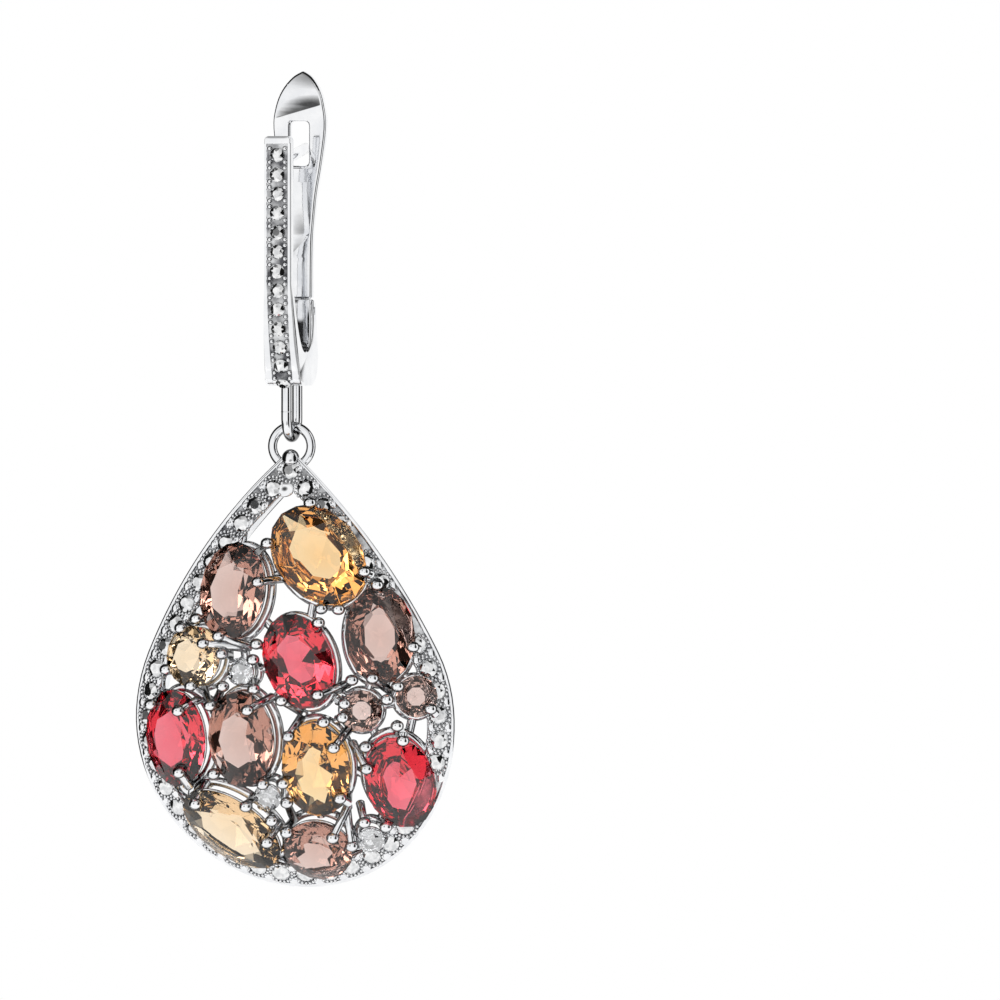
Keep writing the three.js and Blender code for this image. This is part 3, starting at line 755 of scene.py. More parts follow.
@dataclass(frozen=True)
class Cut:
    """A brilliant cut, its heights as shares of its width."""

    length: float
    width: float
    table: float = 0.56
    crown: float = 0.15
    pavilion: float = 0.4
    girdle: float = 0.04
    star_reach: float = 0.8
    star_rise: float = 0.56
    heel_reach: float = 0.46
    heel_drop: float = 0.7
    sides: int = 16
    facets: int = 8
    point_reach: float = 0.02
    flat_within: float = 0.5

    def cut(self, name: str) -> Piece:
        """Cuts the stone round the origin with its table towards +Z.

        Args:
            name: The stone's name.

        Returns:
            The faceted stone.
        """
        crown = self.width * self.crown
        girdle = self.width * self.girdle
        pavilion = self.width * self.pavilion
        rows = (
            (self.facets, 0.0, self.table, crown),
            (self.facets, 0.5, self.star_reach, crown * self.star_rise),
            (self.sides, 0.0, 1.0, girdle / 2),
            (self.sides, 0.0, 1.0, -girdle / 2),
            (self.facets, 0.5, self.heel_reach, -pavilion * self.heel_drop),
            (self.facets, 0.0, self.point_reach, -pavilion),
        )
        rings = []
        for sides, shift, reach, height in rows:
            rest()
            bpy.ops.mesh.primitive_circle_add(
                vertices=sides, radius=reach, location=(0, 0, height),
                rotation=(0, 0, 2 * math.pi * shift / sides),
            )
            rings.append(named(name))
            bpy.ops.object.transform_apply(location=True, rotation=True)
        stone = joined(name, rings)
        with editing(stone):
            bpy.ops.transform.resize(
                value=(self.length / 2, self.width / 2, 1), center_override=(0, 0, 0))
            bpy.ops.mesh.convex_hull()
            bpy.ops.mesh.select_all(action="SELECT")
            bpy.ops.mesh.dissolve_limited(angle_limit=math.radians(self.flat_within))
        outwards(stone)
        return stone

    def reach(self, at: Vector) -> float:
        """A place's distance from the stone's middle as a share of the way to the girdle."""
        return math.hypot(2 * at.x / self.length, 2 * at.y / self.width)

    def crown_over(self, reach: float) -> float:
        """The crown's height over the girdle's middle.

        Args:
            reach: Distance from the stone's middle as a share of the way to the girdle.

        Returns:
            The height.
        """
        crown = self.width * self.crown
        edge = self.width * self.girdle / 2
        star = crown * self.star_rise
        if reach >= 1:
            return edge
        if reach > self.star_reach:
            return edge + (star - edge) * (1 - reach) / (1 - self.star_reach)
        inner = min(1.0, (self.star_reach - reach) / (self.star_reach - self.table))
        return star + (crown - star) * inner


class Oval(Enum):
    """Cuts of the drop's main stones."""

    GRAND = Cut(8, 6)
    LONG = Cut(8, 5)
    OVAL = Cut(7, 5)
    FIVE = Cut(5, 5)
    FOUR = Cut(4.4, 4.4)
    THREE = Cut(3, 3)
    TWO = Cut(2, 2)


# The drop's shape


@dataclass(frozen=True)
class Dome:
    """The curved face of the drop and its outline."""

    ring_y: float = 0.5
    tip_z: float = -20.69
    half_width: float = 11.75
    height: float = 31.0
    side_radius: float = 44.0
    crest_forward: float = 2.05
    crest_down: float = 17.9
    across_radius: float = 23.0
    upper_radius: float = 85.0
    lower_radius: float = 13.6

    @property
    def crest(self) -> Vector:
        """The dome's most forward point."""
        return Vector((0, self.ring_y - self.crest_forward, self.tip_z - self.crest_down))

    def slope(self, x: float, z: float) -> tuple[float, float]:
        """How fast the dome falls back across and upwards.

        Args:
            x: Place across.
            z: Height.

        Returns:
            The fall across and the rise upwards.
        """
        above = z - self.crest.z
        radius = self.upper_radius if above > 0 else self.lower_radius
        return x / self.across_radius, above / radius

    def normal(self, x: float, z: float) -> Vector:
        """The way out of the dome."""
        across, up = self.slope(x, z)
        return Vector((across, -1, up)).normalized()

    def point(self, x: float, z: float, lift: float) -> Vector:
        """A point over the dome, seen from the front at x and z.

        Args:
            x: Place across.
            z: Height.
            lift: Distance out of the dome.

        Returns:
            The point.
        """
        across, up = self.slope(x, z)
        fall = (x * across + (z - self.crest.z) * up) / 2
        return Vector((x, self.crest.y + fall, z)) + self.normal(x, z) * lift

    def frame(self, x: float, z: float, lift: float, turn: float) -> Matrix:
        """A place on the dome whose Z leaves it, with X turned from the right.

        Args:
            x: Place across.
            z: Height.
            lift: Distance out of the dome.
            turn: Degrees from +X, seen from the front.

        Returns:
            The place.
        """
        out = self.normal(x, z)
        right = (Vector((1, 0, 0)) - out * out.x).normalized()
        up = out.cross(right)
        angle = math.radians(turn)
        first = right * math.cos(angle) + up * math.sin(angle)
        axes = Matrix((first, out.cross(first), out)).transposed().to_4x4()
        return Matrix.Translation(self.point(x, z, lift)) @ axes

    @property
    def round_z(self) -> float:
        """Height of the centre of the round bottom."""
        return self.tip_z - self.height + self.half_width

    def outline(self, share: float, inset: float) -> tuple[float, float]:
        """The drop's outline from its point down the right side, round and back up.

        Args:
            share: The share of the way round, from 0 to 1.
            inset: The distance inside the outline.

        Returns:
            Place across and height.
        """
        rise = self.tip_z - self.round_z
        shift = self.side_radius - self.half_width
        down = (rise**2 + shift**2 - self.side_radius**2) / (2 * rise)
        across = math.sqrt(shift**2 - down**2)
        meet = math.atan2(-down, across)
        side_length = self.side_radius * (math.acos(across / self.side_radius) - meet)
        side_share = side_length / (2 * side_length + self.half_width * (math.pi + 2 * meet))
        walk = min(share, 1 - share)
        if walk < side_share:
            radius = self.side_radius - inset
            top = math.acos(across / radius)
            angle = top + (meet - top) * walk / side_share
            x = radius * math.cos(angle) - across
            z = self.round_z + down + radius * math.sin(angle)
        else:
            radius = self.half_width - inset
            angle = meet - (meet + math.pi / 2) * (walk - side_share) / (0.5 - side_share)
            x = radius * math.cos(angle)
            z = self.round_z + radius * math.sin(angle)
        return (-x if share > 0.5 else x), z

    def rim(self, share: float, inset: float) -> tuple[float, float]:
        """A point of the outline moved inwards by a distance measured on the dome.

        Args:
            share: The share of the way round, from 0 to 1.
            inset: The distance inside the outline.

        Returns:
            Place across and height.
        """
        x, z = self.outline(share, 0)
        inner_x, inner_z = self.outline(share, 1)
        step = Vector((inner_x - x, inner_z - z))
        across, up = self.slope(x, z)
        steep = (across * step.x + up * step.y) / step.length
        move = step * inset / math.sqrt(1 + steep**2)
        return x + move.x, z + move.y

    def on_rim(self, share: float, inset: float, lift: float) -> Vector:
        """A point over the rim band."""
        x, z = self.rim(share, inset)
        return self.point(x, z, lift)


DOME = Dome()


def hand_set(
    places: Sequence[Matrix], lean: float = 6.0, step: float = 137.5,
) -> list[Matrix]:
    """Leans and turns the places of small stones a little, each its own way.

    Args:
        places: The exact places.
        lean: Degrees that each leans.
        step: Degrees from one stone's turn to the next one's.

    Returns:
        The leaning places.
    """
    leaning = []
    for i, place in enumerate(places):
        way = math.radians(step * i)
        axis = Vector((math.cos(way), math.sin(way), 0))
        leaning.append(place @ Matrix.Rotation(math.radians(lean), 4, axis)
                       @ Matrix.Rotation(way, 4, "Z"))
    return leaning


# The main stones' girdles lie this far in front of the dome
STONE_LIFT = 0.5


@dataclass(frozen=True)
class Claw:
    """A claw: the way to its ball in degrees and the ball's distance outside the girdle.

    A leaning claw comes from a neighbour, and lean is its stem's reach across and up.
    """

    way: float
    out: float
    lean: tuple[float, float] | None = None


@dataclass(frozen=True)
class Stone:
    """A main stone: its place on the drop, its turn in degrees and its claws."""

    name: str
    gem: Gem
    cut: Oval
    across: float
    down: float
    turn: float
    claws: tuple[Claw, ...]

    @property
    def plan(self) -> tuple[float, float]:
        """Place across and height, seen from the front."""
        return self.across * DOME.half_width, DOME.tip_z - self.down * DOME.height

    def frame(self) -> Matrix:
        """The stone's place, its table outwards."""
        return DOME.frame(*self.plan, STONE_LIFT, self.turn)

    def way_to(self, place: tuple[float, float]) -> float:
        """The direction of a place of the plan in degrees."""
        x, z = self.plan
        return math.degrees(math.atan2(place[1] - z, place[0] - x))

    def girdle(self, way: float, out: float, up: float) -> Vector:
        """A point beside the girdle.

        Args:
            way: Direction from the stone's middle in degrees, seen from the front.
            out: Distance outside the girdle.
            up: Distance in front of the girdle.

        Returns:
            The point.
        """
        angle = math.radians(way - self.turn)
        side = Vector((math.cos(angle), math.sin(angle), 0))
        return self.frame() @ (side * (1 / self.cut.value.reach(side) + out) + Vector((0, 0, up)))


STONES = (
    Stone("citrine_top", Gem.CITRINE, Oval.GRAND, 0.205, 0.245, -47, (
        Claw(100, 0.15), Claw(168, 0.14, (-1.1, -0.5)), Claw(276, 0.35), Claw(293, 0.4),
        Claw(341, -0.08))),
    Stone("smoky_left", Gem.SMOKY, Oval.OVAL, -0.32, 0.326, 82, (
        Claw(14, -0.3, (1.8, 0.35)), Claw(217, 0.4), Claw(256, -0.15, (2.1, -0.8)))),
    Stone("citrine_left", Gem.PALE_CITRINE, Oval.FOUR, -0.57, 0.475, 0, (
        Claw(113, 0.0), Claw(35, -0.65, (2.9, -0.3)), Claw(204, 0.05),
        Claw(272, -0.1, (1.2, -1.1)), Claw(3, 0.4))),
    Stone("clear_left", Gem.CLEAR, Oval.TWO, -0.264, 0.509, 0, (
        Claw(36, 0.4), Claw(222, 0.6, (-1.0, -1.1)), Claw(314, 0.75))),
    Stone("garnet_centre", Gem.GARNET, Oval.OVAL, 0.1, 0.486, 110, (
        Claw(158, 0.4), Claw(61, 0.3), Claw(303, -0.55, (1.9, 0.85)),
        Claw(248, 0.1, (1.1, -0.8)))),
    Stone("smoky_right", Gem.SMOKY, Oval.OVAL, 0.575, 0.427, 93, (
        Claw(94, 0.05), Claw(341, -0.1), Claw(239, 0.7, (-1.3, -0.7)),
        Claw(261, -0.3, (0.95, -0.9)))),
    Stone("smoky_small", Gem.SMOKY, Oval.THREE, 0.472, 0.598, 0, (
        Claw(156, -0.2), Claw(199, -0.1), Claw(23, 0.5))),
    Stone("smoky_edge", Gem.SMOKY, Oval.THREE, 0.784, 0.566, 0, (
        Claw(153, 0.05), Claw(317, -0.2))),
    Stone("garnet_left", Gem.GARNET, Oval.OVAL, -0.695, 0.658, 90, (
        Claw(126, -0.1, (0.8, 0.9)), Claw(67, -0.95, (1.3, 1.0)), Claw(287, -0.95))),
    Stone("smoky_mid", Gem.SMOKY, Oval.OVAL, -0.263, 0.66, 90, (
        Claw(131, 0.25, (-1.1, 1.2)), Claw(67, -0.85, (1.4, 1.0)), Claw(230, 0.3))),
    Stone("citrine_centre", Gem.CITRINE, Oval.OVAL, 0.19, 0.728, 90, (
        Claw(123, 0.1, (0.6, 1.35)), Claw(50, -0.6, (0.75, 1.3)), Claw(76, 0.35),
        Claw(309, -0.4), Claw(199, 0.0), Claw(225, 0.35, (-0.15, -1.4)))),
    Stone("garnet_right", Gem.GARNET, Oval.OVAL, 0.668, 0.756, 100, (
        Claw(125, 0.55), Claw(147, -0.15, (-1.2, 1.85)), Claw(81, -0.05), Claw(87, 1.0))),
    Stone("citrine_low", Gem.PALE_CITRINE, Oval.LONG, -0.39, 0.861, -36, (
        Claw(133, -0.7, (0.45, 1.4)), Claw(55, 0.35), Claw(21, 0.95),
        Claw(352, -0.5, (0.6, 1.15)))),
    Stone("clear_low", Gem.CLEAR, Oval.TWO, -0.131, 0.79, 0, (Claw(94, 0.2),)),
    Stone("smoky_low", Gem.SMOKY, Oval.FIVE, 0.125, 0.908, 0, (
        Claw(134, 0.2), Claw(46, -0.4, (1.1, 2.2)), Claw(12, 0.2, (-0.3, 2.5)))),
    Stone("clear_right", Gem.CLEAR, Oval.TWO, 0.45, 0.886, 0, (
        Claw(95, 0.8, (-0.4, 1.3)), Claw(43, 0.8))),
)
BY_NAME = {stone.name: stone for stone in STONES}

# Soldered bars between neighbouring baskets, and from a basket out to the rim in degrees
BARS = (
    ("citrine_top", "smoky_left"), ("citrine_top", "garnet_centre"),
    ("citrine_top", "smoky_right"), ("smoky_left", "citrine_left"),
    ("smoky_left", "clear_left"), ("smoky_left", "garnet_centre"),
    ("citrine_left", "clear_left"), ("citrine_left", "garnet_left"),
    ("clear_left", "garnet_centre"), ("clear_left", "smoky_mid"),
    ("garnet_centre", "smoky_small"), ("garnet_centre", "smoky_mid"),
    ("garnet_centre", "citrine_centre"), ("smoky_right", "smoky_small"),
    ("smoky_right", "smoky_edge"), ("smoky_small", "smoky_edge"),
    ("smoky_small", "garnet_right"), ("smoky_edge", "garnet_right"),
    ("garnet_left", "smoky_mid"), ("garnet_left", "citrine_low"), ("smoky_mid", "clear_low"),
    ("smoky_small", "citrine_centre"), ("citrine_centre", "garnet_right"),
    ("clear_low", "citrine_centre"), ("clear_low", "citrine_low"),
    ("citrine_centre", "smoky_low"), ("citrine_low", "smoky_low"),
    ("smoky_low", "clear_right"), ("garnet_right", "clear_right"),
)
RIM_BARS = (
    ("citrine_top", 100), ("citrine_top", 35), ("smoky_left", 120), ("smoky_left", 190),
    ("citrine_left", 170), ("smoky_right", 60), ("smoky_right", 350), ("smoky_edge", 10),
    ("garnet_left", 120), ("garnet_left", 260), ("citrine_low", 200), ("smoky_low", 270),
    ("clear_right", 300), ("garnet_right", 330),
)


@dataclass
class Drop:
    """The pierced drop: rim band, small stones, baskets, claws, ring and main stones."""

    rim_width: float = 2.0
    rim_depth: float = 1.8
    rim_plate: float = 0.9
    rim_wall: float = 0.7
    rim_steps: int = 264
    lip_width: float = 0.3
    lip_rise: float = 0.12
    channel_wall: float = 0.05
    channel_depth: float = 0.06
    inner_lip: float = 0.2
    floor_thickness: float = 0.27
    small_stone: Cut = Cut(1.35, 1.35, table=0.5, crown=0.2)
    small_count: int = 44
    small_sink: float = 0.02
    grain_ring: float = 0.8
    grain_radius: float = 0.135
    grain_rise: float = 0.04
    grain_count: int = 17
    pad_half: tuple[float, float, float] = (0.4, 0.3, 0.16)
    pad_from_lip: float = 0.2
    pad_from_inside: float = 0.3
    corner_pad_at: tuple[float, float] = (-0.28, 2.85)
    corner_pad_size: tuple[float, float, float] = (1.7, 1.9, 1.2)
    ring_radius: float = 1.42
    ring_wire: float = 0.66
    ring_above_tip: float = 0.2
    bead_radius: float = 0.62
    bead_flat: float = 0.86
    bead_flats: tuple[tuple[float, float, float], ...] = ((-0.7, -1, 0.15), (0.5, -1, -0.1))
    seat_wire: float = 0.12
    seat_out: float = -0.2
    seat_drop: float = 0.42
    foot_rail_wire: float = 0.34
    foot_rail_out: float = -0.1
    foot_rail_drop: float = 1.45
    bar_radius: float = 0.34
    bar_end: float = 0.8
    bar_inset: float = 0.3
    claw_radius: float = 0.27
    claw_swell: float = 1.25
    claw_ball: float = 0.48
    ball_height: float = 0.85
    hidden_reach: float = 0.85
    claw_up: float = 0.26
    claw_out: float = 0.33
    lean_lift: float = -0.4

    def build(self) -> None:
        """Builds and dresses the whole drop."""
        for make, finish, smooth in (
            (self.rim, SILVER, CRISP), (self.ring, EDGE_SHADED_WIRE, CRISP), (self.tip_bead, EDGE_SHADED_WIRE, CRISP),
            (self.baskets, EDGE_SHADED_WIRE, CRISP), (self.bars, EDGE_SHADED_WIRE, CRISP), (self.claws, EDGE_SHADED_WIRE, SOFT),
            (self.grains, EDGE_SHADED_BRIGHT_CUT, SOFT), (self.pads, SILVER, SOFT),
            (self.rim_floor, MATT_FLOOR_PAINTED_SHADE, CRISP),
        ):
            done(make(), finish, Body.DROP, Slot.SILVER, ["drop_setting"], smooth)
        done(self.rim_stones(), SMALL_STONE, Body.DROP, Slot.CLEAR, ["drop_setting"], FACETED)
        for stone in STONES:
            self.main_stone(stone)

    @property
    def channel(self) -> tuple[float, float]:
        """The outer and the inner side of the sunk channel that holds the rim's stones."""
        return self.lip_width + self.channel_wall, self.rim_width - self.inner_lip

    def rim(self) -> Piece:
        """Makes the rim band with its raised outer lip and thin inner lip.

        Returns:
            The band.
        """
        width, lip, rise = self.rim_width, self.lip_width, self.lip_rise
        near, far = self.channel
        section = (
            (0, -self.rim_depth), (0, rise * 0.2), (0.02, rise * 0.7), (0.08, rise),
            (lip - 0.08, rise), (lip - 0.02, rise * 0.7), (lip, 0), (near, -self.channel_depth),
            (far, -self.channel_depth), (far + 0.04, 0), (far + 0.08, 0.05), (width - 0.05, 0.05),
            (width, -0.02), (width, -self.rim_plate), (self.rim_wall, -self.rim_plate),
            (self.rim_wall, -self.rim_depth),
        )
        return swept("drop_rim", section, self.rim_steps, DOME.on_rim, True)

    def rim_floor(self) -> Piece:
        """Makes the rim's pricked floor between its stones, mottled and dark with painted shade.

        Returns:
            The floor.
        """
        near, far = self.channel
        top = -self.channel_depth / 2
        foot = top - self.floor_thickness
        section = ((near, foot), (near, top), (far, top), (far, foot))
        return swept("rim_floor", section, self.rim_steps, DOME.on_rim, True)

    def stone_shares(self) -> list[float]:
        """The shares of the way round at which the rim's stones sit in the open."""
        shares = [i / self.small_count for i in range(self.small_count)]
        return [share for share in shares if not self.covered(share)]

    def covered(self, share: float) -> bool:
        """Whether a main stone lies over a place of the rim.

        Args:
            share: The share of the way round, from 0 to 1.

        Returns:
            True where one does.
        """
        x, z = DOME.rim(share, self.stone_inset())
        at = DOME.point(x, z, STONE_LIFT)
        reaches = [stone.cut.value.reach(stone.frame().inverted() @ at) for stone in STONES]
        return min(reaches) < self.hidden_reach

    def stone_inset(self) -> float:
        """The distance from the outline to the middle of a rim stone."""
        return (self.rim_width + self.lip_width) / 2

    def rim_frame(self, share: float, inset: float, lift: float) -> Matrix:
        """A place on the rim whose X runs along it and whose Z leaves the dome.

        Args:
            share: The share of the way round, from 0 to 1.
            inset: The distance inside the outline.
            lift: Distance out of the dome.

        Returns:
            The place.
        """
        x, z = DOME.rim(share % 1.0, inset)
        ahead_x, ahead_z = DOME.rim((share + 1e-3) % 1.0, inset)
        turn = math.degrees(math.atan2(ahead_z - z, ahead_x - x))
        return DOME.frame(x, z, lift, turn)

    def stone_places(self, lift: float) -> list[Matrix]:
        """The places of the rim's stones, lifted off the dome."""
        return [self.rim_frame(s, self.stone_inset(), lift) for s in self.stone_shares()]

    def rim_stones(self) -> Piece:
        """Sets a round brilliant at each place of the rim."""
        places = hand_set(self.stone_places(self.small_sink))
        return repeated("rim_stones", self.small_stone.cut("rim_stone"), places)

    def grains(self) -> Piece:
        """Makes the ring of fine grains round each rim stone.

        Returns:
            The grains.
        """
        grain = sphere("grain", self.grain_radius, segments=8, rings=5)
        corners = round_section(self.grain_ring, self.grain_count)
        model = repeated("grain_ring", grain, [Matrix.Translation((x, y, 0)) for x, y in corners])
        return repeated("rim_grains", model, self.stone_places(self.grain_rise))

    def pads(self) -> Piece:
        """Makes the polished wedges between the stones, on the outer and the inner side.

        Returns:
            The pads.
        """
        pad = sphere("pad", 1, segments=20, rings=12)
        with editing(pad):
            bpy.ops.transform.resize(value=self.pad_half, center_override=(0, 0, 0))
        insets = (self.lip_width + self.pad_from_lip, self.rim_width - self.pad_from_inside)
        half_step = 0.5 / self.small_count
        places = [self.rim_frame(share + half_step, inset, 0.0)
                  for share in self.stone_shares() for inset in insets]
        across, down = self.corner_pad_at
        corner = DOME.frame(across, DOME.tip_z - down, 0.0, 0)
        places.append(corner @ Matrix.Diagonal((*self.corner_pad_size, 1)))
        return repeated("rim_pads", pad, places)

    def ring(self) -> Piece:
        """Makes the hanging ring soldered to the rim's point.

        Returns:
            The ring.
        """
        middle = (0, DOME.ring_y, DOME.tip_z + self.ring_above_tip)
        return wire_ring(
            "hanging_ring", middle, self.ring_radius, self.ring_wire / 2, steps=(72, 20),
            turn=(math.pi / 2, 0, 0))

    def tip_bead(self) -> Piece:
        """Makes the bead over the solder of ring and rim, with two flats ground on it.

        Returns:
            The bead.
        """
        at = DOME.point(0, DOME.tip_z - self.bead_radius, 0)
        bead = sphere("tip_bead", self.bead_radius, segments=32, rings=20, middle=at)
        for side in self.bead_flats:
            way = Vector(side).normalized()
            with editing(bead):
                bpy.ops.mesh.bisect(
                    plane_co=at + way * self.bead_radius * self.bead_flat, plane_no=way,
                    clear_outer=True, use_fill=True)
        outwards(bead)
        return bead

    def rail(self, stone: Stone, wire: float, out: float, drop: float) -> Piece:
        """Bends a round wire into an oval parallel to a stone's girdle.

        Args:
            stone: The stone that it lies under.
            wire: The wire's radius.
            out: Distance of its middle outside the girdle.
            drop: Distance of its middle behind the girdle.

        Returns:
            The rail.
        """
        half_x = stone.cut.value.length / 2
        half_y = stone.cut.value.width / 2
        place = stone.frame()

        def path(share: float, across: float, up: float) -> Vector:
            """A point of the rail.

            Args:
                share: The share of the way round, from 0 to 1.
                across: Distance across.
                up: Distance out.

            Returns:
                The point.
            """
            angle = 2 * math.pi * share
            side = Vector((math.cos(angle) / half_x, math.sin(angle) / half_y, 0)).normalized()
            middle = Vector((half_x * math.cos(angle), half_y * math.sin(angle), up - drop))
            return place @ (middle + side * (across + out))

        return swept("rail", round_section(wire, 10), 48, path, True)

    def baskets(self) -> Piece:
        """Makes each stone's basket: a seat rail under the girdle and a foot rail behind it.

        Returns:
            The baskets.
        """
        rails = []
        for stone in STONES:
            rails.append(self.rail(stone, self.seat_wire, self.seat_out, self.seat_drop))
            rails.append(self.rail(
                stone, self.foot_rail_wire, self.foot_rail_out, self.foot_rail_drop))
        return joined("baskets", rails)

    def bars(self) -> Piece:
        """Makes the soldered bars between baskets and out to the rim.

        Returns:
            The bars.
        """
        spans = []
        for first, second in BARS:
            start, end = BY_NAME[first], BY_NAME[second]
            way = start.way_to(end.plan)
            spans.append(self.span(self.basket_side(start, way), self.basket_side(end, way + 180)))
        for name, way in RIM_BARS:
            start = BY_NAME[name]
            end = self.rim_towards(start, way)
            spans.append(self.span(self.basket_side(start, start.way_to(end)), end))
        blunt = self.bar_radius * self.bar_end
        profile = ((0, 0), (blunt, 0), (self.bar_radius, 0.03), (self.bar_radius, 0.97), (blunt, 1),
                   (0, 1))
        return repeated("bars", turned("bar", profile, 14), spans)

    def basket_side(self, stone: Stone, way: float) -> tuple[float, float]:
        """The place of the plan where a bar meets a stone's basket."""
        at = stone.girdle(way, self.foot_rail_out, 0)
        return at.x, at.z

    def span(self, start: tuple[float, float], end: tuple[float, float]) -> Matrix:
        """Lays a bar between two places of the plan, as deep as the foot rails."""
        lift = STONE_LIFT - self.foot_rail_drop
        return between(DOME.point(*start, lift), DOME.point(*end, lift))

    def rim_towards(self, stone: Stone, way: float) -> tuple[float, float]:
        """The place on the rim band that lies in a direction from a stone.

        Args:
            stone: The stone.
            way: The direction in degrees.

        Returns:
            Place across and height.
        """
        inset = self.rim_width - self.bar_inset
        places = [DOME.rim(i / self.rim_steps, inset) for i in range(self.rim_steps)]
        return min(places, key=lambda place: abs((stone.way_to(place) - way + 180) % 360 - 180))

    def claws(self) -> Piece:
        """Makes every claw: a stem from the basket or from a neighbour, ending in a ball.

        Returns:
            The claws.
        """
        heads, rods = [], []
        for stone in STONES:
            for claw in stone.claws:
                head = self.claw_head(stone, claw)
                upright = DOME.frame(head.x, head.z, 0, 0).to_3x3().to_4x4()
                heads.append(Matrix.Translation(head) @ upright)
                if claw.lean is None:
                    rods += self.upright(stone, claw, head)
                else:
                    x, z = head.x + claw.lean[0], head.z + claw.lean[1]
                    rods.append(between(DOME.point(x, z, self.lean_lift), head))
        ball = sphere("claw_ball", self.claw_ball, segments=28, rings=18)
        with editing(ball):
            bpy.ops.transform.resize(value=(1, self.ball_height, 1), center_override=(0, 0, 0))
        wide, thin = self.claw_radius * self.claw_swell, self.claw_radius
        rod = turned("stem", ((0, -0.02), (wide * 0.7, -0.02), (wide, 0.05), (thin, 1), (0, 1)), 18)
        return joined("claws", [repeated("balls", ball, heads), repeated("stems", rod, rods)])

    def claw_head(self, stone: Stone, claw: Claw) -> Vector:
        """The middle of a claw's ball, resting on the crown.

        Args:
            stone: The stone that it holds.
            claw: The claw.

        Returns:
            The ball's middle.
        """
        form = stone.cut.value
        reach = form.reach(stone.frame().inverted() @ stone.girdle(claw.way, claw.out, 0))
        return stone.girdle(claw.way, claw.out, form.crown_over(reach) + self.claw_up)

    def upright(self, stone: Stone, claw: Claw, head: Vector) -> list[Matrix]:
        """Places a claw's stem: up beside the girdle, then over to its ball.

        Args:
            stone: The stone that it holds.
            claw: The claw.
            head: The middle of its ball.

        Returns:
            The places of the stem's two lengths.
        """
        out = max(claw.out, self.claw_out)
        foot = stone.girdle(claw.way, min(out, self.foot_rail_out), -self.foot_rail_drop)
        shoulder = stone.girdle(claw.way, out, 0)
        return [between(foot, shoulder), between(shoulder, head)]

    def main_stone(self, stone: Stone) -> None:
        """Cuts, places and dresses one of the main stones.

        Args:
            stone: The stone.
        """
        gem = stone.cut.value.cut("cut_" + stone.name)
        placed_by(gem, lambda at: stone.frame() @ at)
        done(gem, stone.gem.finish, Body.DROP, stone.gem.slot, [stone.name], FACETED)


